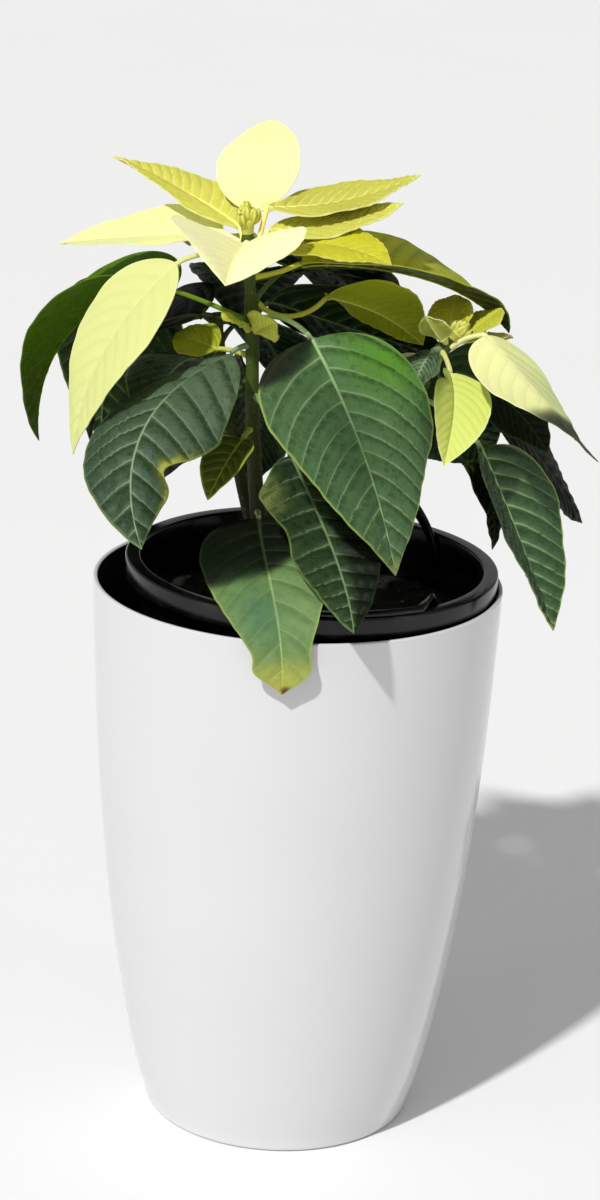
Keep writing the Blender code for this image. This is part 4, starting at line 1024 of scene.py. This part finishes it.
def leaf_material(name, sheen, rough, relief_share):
    """Skin with a midrib, side veins, a fine net between them and a thin pale margin. Painted shade
    on one side of each fold between the side veins, and the cells of the net, give the skin its
    padded look."""
    n = Nodes(name)
    flat = n.attribute("flat", "Vector")
    right = n.math("GREATER_THAN", n.part(flat, "X"), 0.0)
    gap = n.attribute("vein_gap")
    quilt = n.attribute("quilt")
    skin = n.attribute("skin", "Color")
    vein = n.attribute("vein", "Color")
    wobble = n.times(n.math("SUBTRACT", n.noise(flat, 0.07, 2.0), 0.5), 1.8)
    phase = n.plus(n.attribute("phase"), n.times(right, 0.5))
    phase = n.plus(phase, n.math("DIVIDE", wobble, gap))
    near = n.times(n.math("PINGPONG", phase, 0.5), gap)
    line = n.math("MAXIMUM", n.span(near, 0.1, 1.2, 1.0, 0.0), n.span(near, 0.0, 3.6, 0.34, 0.0))
    side_vein = n.times(line, n.math("SUBTRACT", 1.0, n.times(n.attribute("across"), 0.7)))
    cells = n.cells(flat, 0.22)
    small = n.cells(flat, 0.6)
    net = n.math("MAXIMUM", n.span(cells, 0.0, 0.08, 0.8, 0.0), n.span(small, 0.0, 0.08, 0.6, 0.0))
    speck = n.noise(flat, 0.32, 4.0, 0.62)
    # Painted shade: the skin darkens on the side of each fold just past a side vein, broken up by specks, as
    # strongly as the look asks.
    fold = n.math("FRACT", phase)
    painted_shade = n.times(n.span(fold, 0.10, 0.55, 1.0, 0.0), n.span(fold, 0.0, 0.08))
    painted_shade = n.times(painted_shade, n.span(speck, 0.36, 0.56, 0.25, 1.0))
    painted_shade = n.times(n.math("MAXIMUM", painted_shade, n.times(n.span(speck, 0.52, 0.66), 0.6)), quilt)
    colour = n.mix(painted_shade, skin, n.tint(skin, (0.24, 0.30, 0.26)))
    bright = n.times(n.span(n.noise(flat, 0.08), 0.42, 0.70), quilt)
    colour = n.mix(bright, colour, n.tint(colour, (1.3, 1.25, 1.3)))
    lines = n.times(n.math("MAXIMUM", side_vein, n.times(net, 0.12)), n.attribute("clear"))
    colour = n.mix(lines, colour, vein)
    rim = n.times(n.span(n.attribute("edge"), 0.2, 1.5, 1.0, 0.0), 0.85)
    colour = n.mix(rim, colour, n.attribute("margin", "Color"))
    midrib = n.times(n.span(n.attribute("rib"), 0.35, 1.0, 1.0, 0.0), 0.95)
    colour = n.mix(midrib, colour, n.tint(vein, (1.25, 1.2, 1.2)))
    height = n.plus(n.times(n.span(cells, 0.0, 0.4), 0.15), n.times(speck, 0.35))
    height = n.plus(n.math("SUBTRACT", height, side_vein), n.times(n.noise(flat, 3.0, 2.0), 0.2))
    n.bump(height, 0.0008, relief_share)
    return n.finish(colour, n.plus(n.times(speck, 0.16), rough), sheen)


def gloss_white():
    """Glossy white moulded plastic with a faint ripple."""
    n = Nodes("gloss_white")
    cloud = n.cloud(14.0, 3.0)
    colour = n.mix(cloud, (0.64, 0.64, 0.652), (0.67, 0.67, 0.68))
    n.bump(n.cloud(60.0, 2.0), 0.0001, 0.25)
    return n.finish(colour, n.span(cloud, 0.2, 0.8, 0.10, 0.17))


def inner_black():
    """The dull dark inner side of the planter."""
    n = Nodes("inner_black")
    cloud = n.cloud(40.0, 4.0)
    colour = n.mix(cloud, (0.006, 0.006, 0.006), (0.014, 0.014, 0.015))
    return n.finish(colour, n.span(cloud, 0.2, 0.8, 0.5, 0.7))


def satin_black():
    """Satin black plastic with fine grain and a little dust."""
    n = Nodes("satin_black")
    dust = n.cloud(90.0, 5.0, 0.7)
    colour = n.mix(n.span(dust, 0.5, 0.8), (0.003, 0.003, 0.0034), (0.010, 0.010, 0.010))
    n.bump(n.cloud(900.0, 2.0), 0.0001, 0.35)
    return n.finish(colour, n.span(dust, 0.3, 0.7, 0.10, 0.24), 0.35)


def soil_material():
    """Dark moist peat with lighter fibres."""
    n = Nodes("peat")
    cloud = n.cloud(160.0, 6.0, 0.65)
    fibre = n.noise(n.stretch(900.0, 240.0, 400.0), 1.0, 3.0)
    colour = n.mix(n.span(cloud, 0.35, 0.7), (0.004, 0.003, 0.0025), (0.016, 0.011, 0.008))
    colour = n.mix(n.span(fibre, 0.62, 0.74, 0.0, 0.6), colour, (0.045, 0.032, 0.020))
    n.bump(cloud, 0.0012, 0.9)
    return n.finish(colour, n.span(cloud, 0.3, 0.7, 0.8, 0.98))


def crumb_material():
    """Crumbs from near black through bark brown to a few pale ones."""
    n = Nodes("crumbs")
    tone = n.attribute("tone")
    cloud = n.cloud(700.0, 4.0)
    colour = n.mix(n.span(tone, 0.2, 0.85), (0.005, 0.004, 0.003), (0.030, 0.019, 0.012))
    colour = n.mix(n.span(tone, 0.955, 0.97), colour, (0.20, 0.18, 0.15))
    colour = n.mix(n.times(cloud, 0.4), colour, (0.02, 0.014, 0.010))
    n.bump(cloud, 0.0004, 0.8)
    return n.finish(colour, n.span(cloud, 0.3, 0.7, 0.75, 0.95))


def stem_material():
    """Bark at the foot that turns green towards the top, with streaks and pale spots."""
    n = Nodes("stem")
    streak = n.noise(n.stretch(900.0, 900.0, 120.0), 1.0, 4.0, 0.6)
    green = n.mix(streak, (0.030, 0.050, 0.006), (0.090, 0.125, 0.018))
    bark = n.mix(streak, (0.012, 0.010, 0.005), (0.060, 0.046, 0.026))
    level = n.plus(n.part(n.place(), "Z"), n.times(streak, 0.03))
    colour = n.mix(n.span(level, 0.30, 0.40), bark, green)
    spot = n.cells(n.stretch(420.0, 420.0, 210.0), 1.0, "F1")
    colour = n.mix(n.span(spot, 0.10, 0.2, 0.5, 0.0), colour, (0.22, 0.24, 0.12))
    n.bump(streak, 0.0005, 0.7)
    return n.finish(colour, n.span(streak, 0.3, 0.7, 0.5, 0.72), 0.2)


def flower_material():
    """Yellow-green buds with paler flutes and a dark hollow."""
    n = Nodes("cyathia")
    cloud = n.cloud(900.0, 3.0)
    groove = n.span(n.attribute("groove"), -1.0, 1.0)
    colour = n.mix(groove, (0.34, 0.38, 0.03), (0.74, 0.72, 0.12))
    colour = n.mix(n.times(cloud, 0.4), colour, (0.78, 0.74, 0.20))
    colour = n.mix(n.span(n.attribute("hollow"), 0.3, 0.75), colour, (0.030, 0.032, 0.006))
    n.bump(cloud, 0.0003, 0.6)
    return n.finish(colour, n.span(cloud, 0.3, 0.7, 0.42, 0.6))


def floor_material():
    """Plain pale matt floor."""
    n = Nodes("floor_pale")
    return n.finish(n.mix(n.cloud(3.0, 2.0), (0.855, 0.855, 0.85), (0.875, 0.875, 0.87)), 0.8)


def build_floor():
    """The floor, far wider than any view shows."""
    mesh = bpy.data.meshes.new("floor")
    corners = [(FLOOR_REACH * x, FLOOR_REACH * y, 0.0) for x, y in ((-1, -1), (1, -1), (1, 1), (-1, 1))]
    mesh.from_pydata(corners, [], [(0, 1, 2, 3)])
    mesh.materials.append(floor_material())
    floor = placed("floor", mesh)


def hang(name, data, direction, place=(0.0, 0.0, 0.0)):
    """A lamp at a place that shines along a direction."""
    lamp = placed(name, data)
    lamp.location = place
    lamp.rotation_euler = Vector(direction).to_track_quat("-Z", "Y").to_euler()


def build_lights():
    """A soft key from the upper left, two tall soft boxes and an even pale surround."""
    key = bpy.data.lights.new("key", "SUN")
    key.energy = KEY_POWER
    key.angle = math.radians(KEY_SPREAD)
    hang("key", key, KEY_DIRECTION)
    for name, place, size, power in SOFT_BOXES:
        box = bpy.data.lights.new(name, "AREA")
        box.shape = "RECTANGLE"
        box.size, box.size_y = size
        box.energy = power
        hang(name, box, Vector(BOX_TARGET) - Vector(place), place)
    world = bpy.data.worlds.new("surround")
    bpy.context.scene.world = world
    world.use_nodes = True
    back = world.node_tree.nodes["Background"]
    back.inputs["Color"].default_value = (1.0, 1.0, 1.0, 1.0)
    back.inputs["Strength"].default_value = SURROUND


def build_camera():
    """The camera at the photograph's place, a little tilted."""
    data = bpy.data.cameras.new("view")
    data.lens = CAMERA_LENS
    data.sensor_width = SENSOR
    data.sensor_fit = "AUTO"
    data.clip_start, data.clip_end = CAMERA_RANGE
    camera = placed("view", data)
    tilt, yaw, roll = (math.radians(value) for value in (90 - CAMERA_PITCH, -CAMERA_YAW, CAMERA_ROLL))
    turn = Matrix.Rotation(tilt, 4, "X") @ Matrix.Rotation(yaw, 4, "Y") @ Matrix.Rotation(roll, 4, "Z")
    camera.matrix_world = Matrix.Translation(CAMERA_PLACE) @ turn
    bpy.context.scene.camera = camera


def blade_slot(name):
    """The record's slot of a blade."""
    if name.startswith("bract"):
        return "bract"
    return "young_leaf" if name.startswith("shoot") or name in YOUNG else "leaf"


def build_blades():
    """Every leaf and bract, with one material for each kind and sheen."""
    kinds = {}
    for name, leaf in BLADES.items():
        slot = blade_slot(name)
        key = f"{slot}_{round(100 * leaf['sheen'])}"
        if key not in kinds:
            kinds[key] = leaf_material(key, leaf["sheen"], *SURFACES[slot])
        build_blade(name, leaf, kinds[key])


def build_scene():
    """The whole scene."""
    bpy.context.scene.view_settings.view_transform = "Standard"
    plastic = satin_black()
    build_planter()
    build_liner(plastic)
    build_strap("handle_back_strap", raised_route, "handle_back", plastic)
    build_strap("handle_front_strap", folded_route, "handle_front", plastic)
    build_soil()
    build_stems()
    for name, cluster in CLUSTERS.items():
        build_cluster(name, **cluster)
    build_blades()
    build_floor()
    build_lights()
    build_camera()


build_scene()
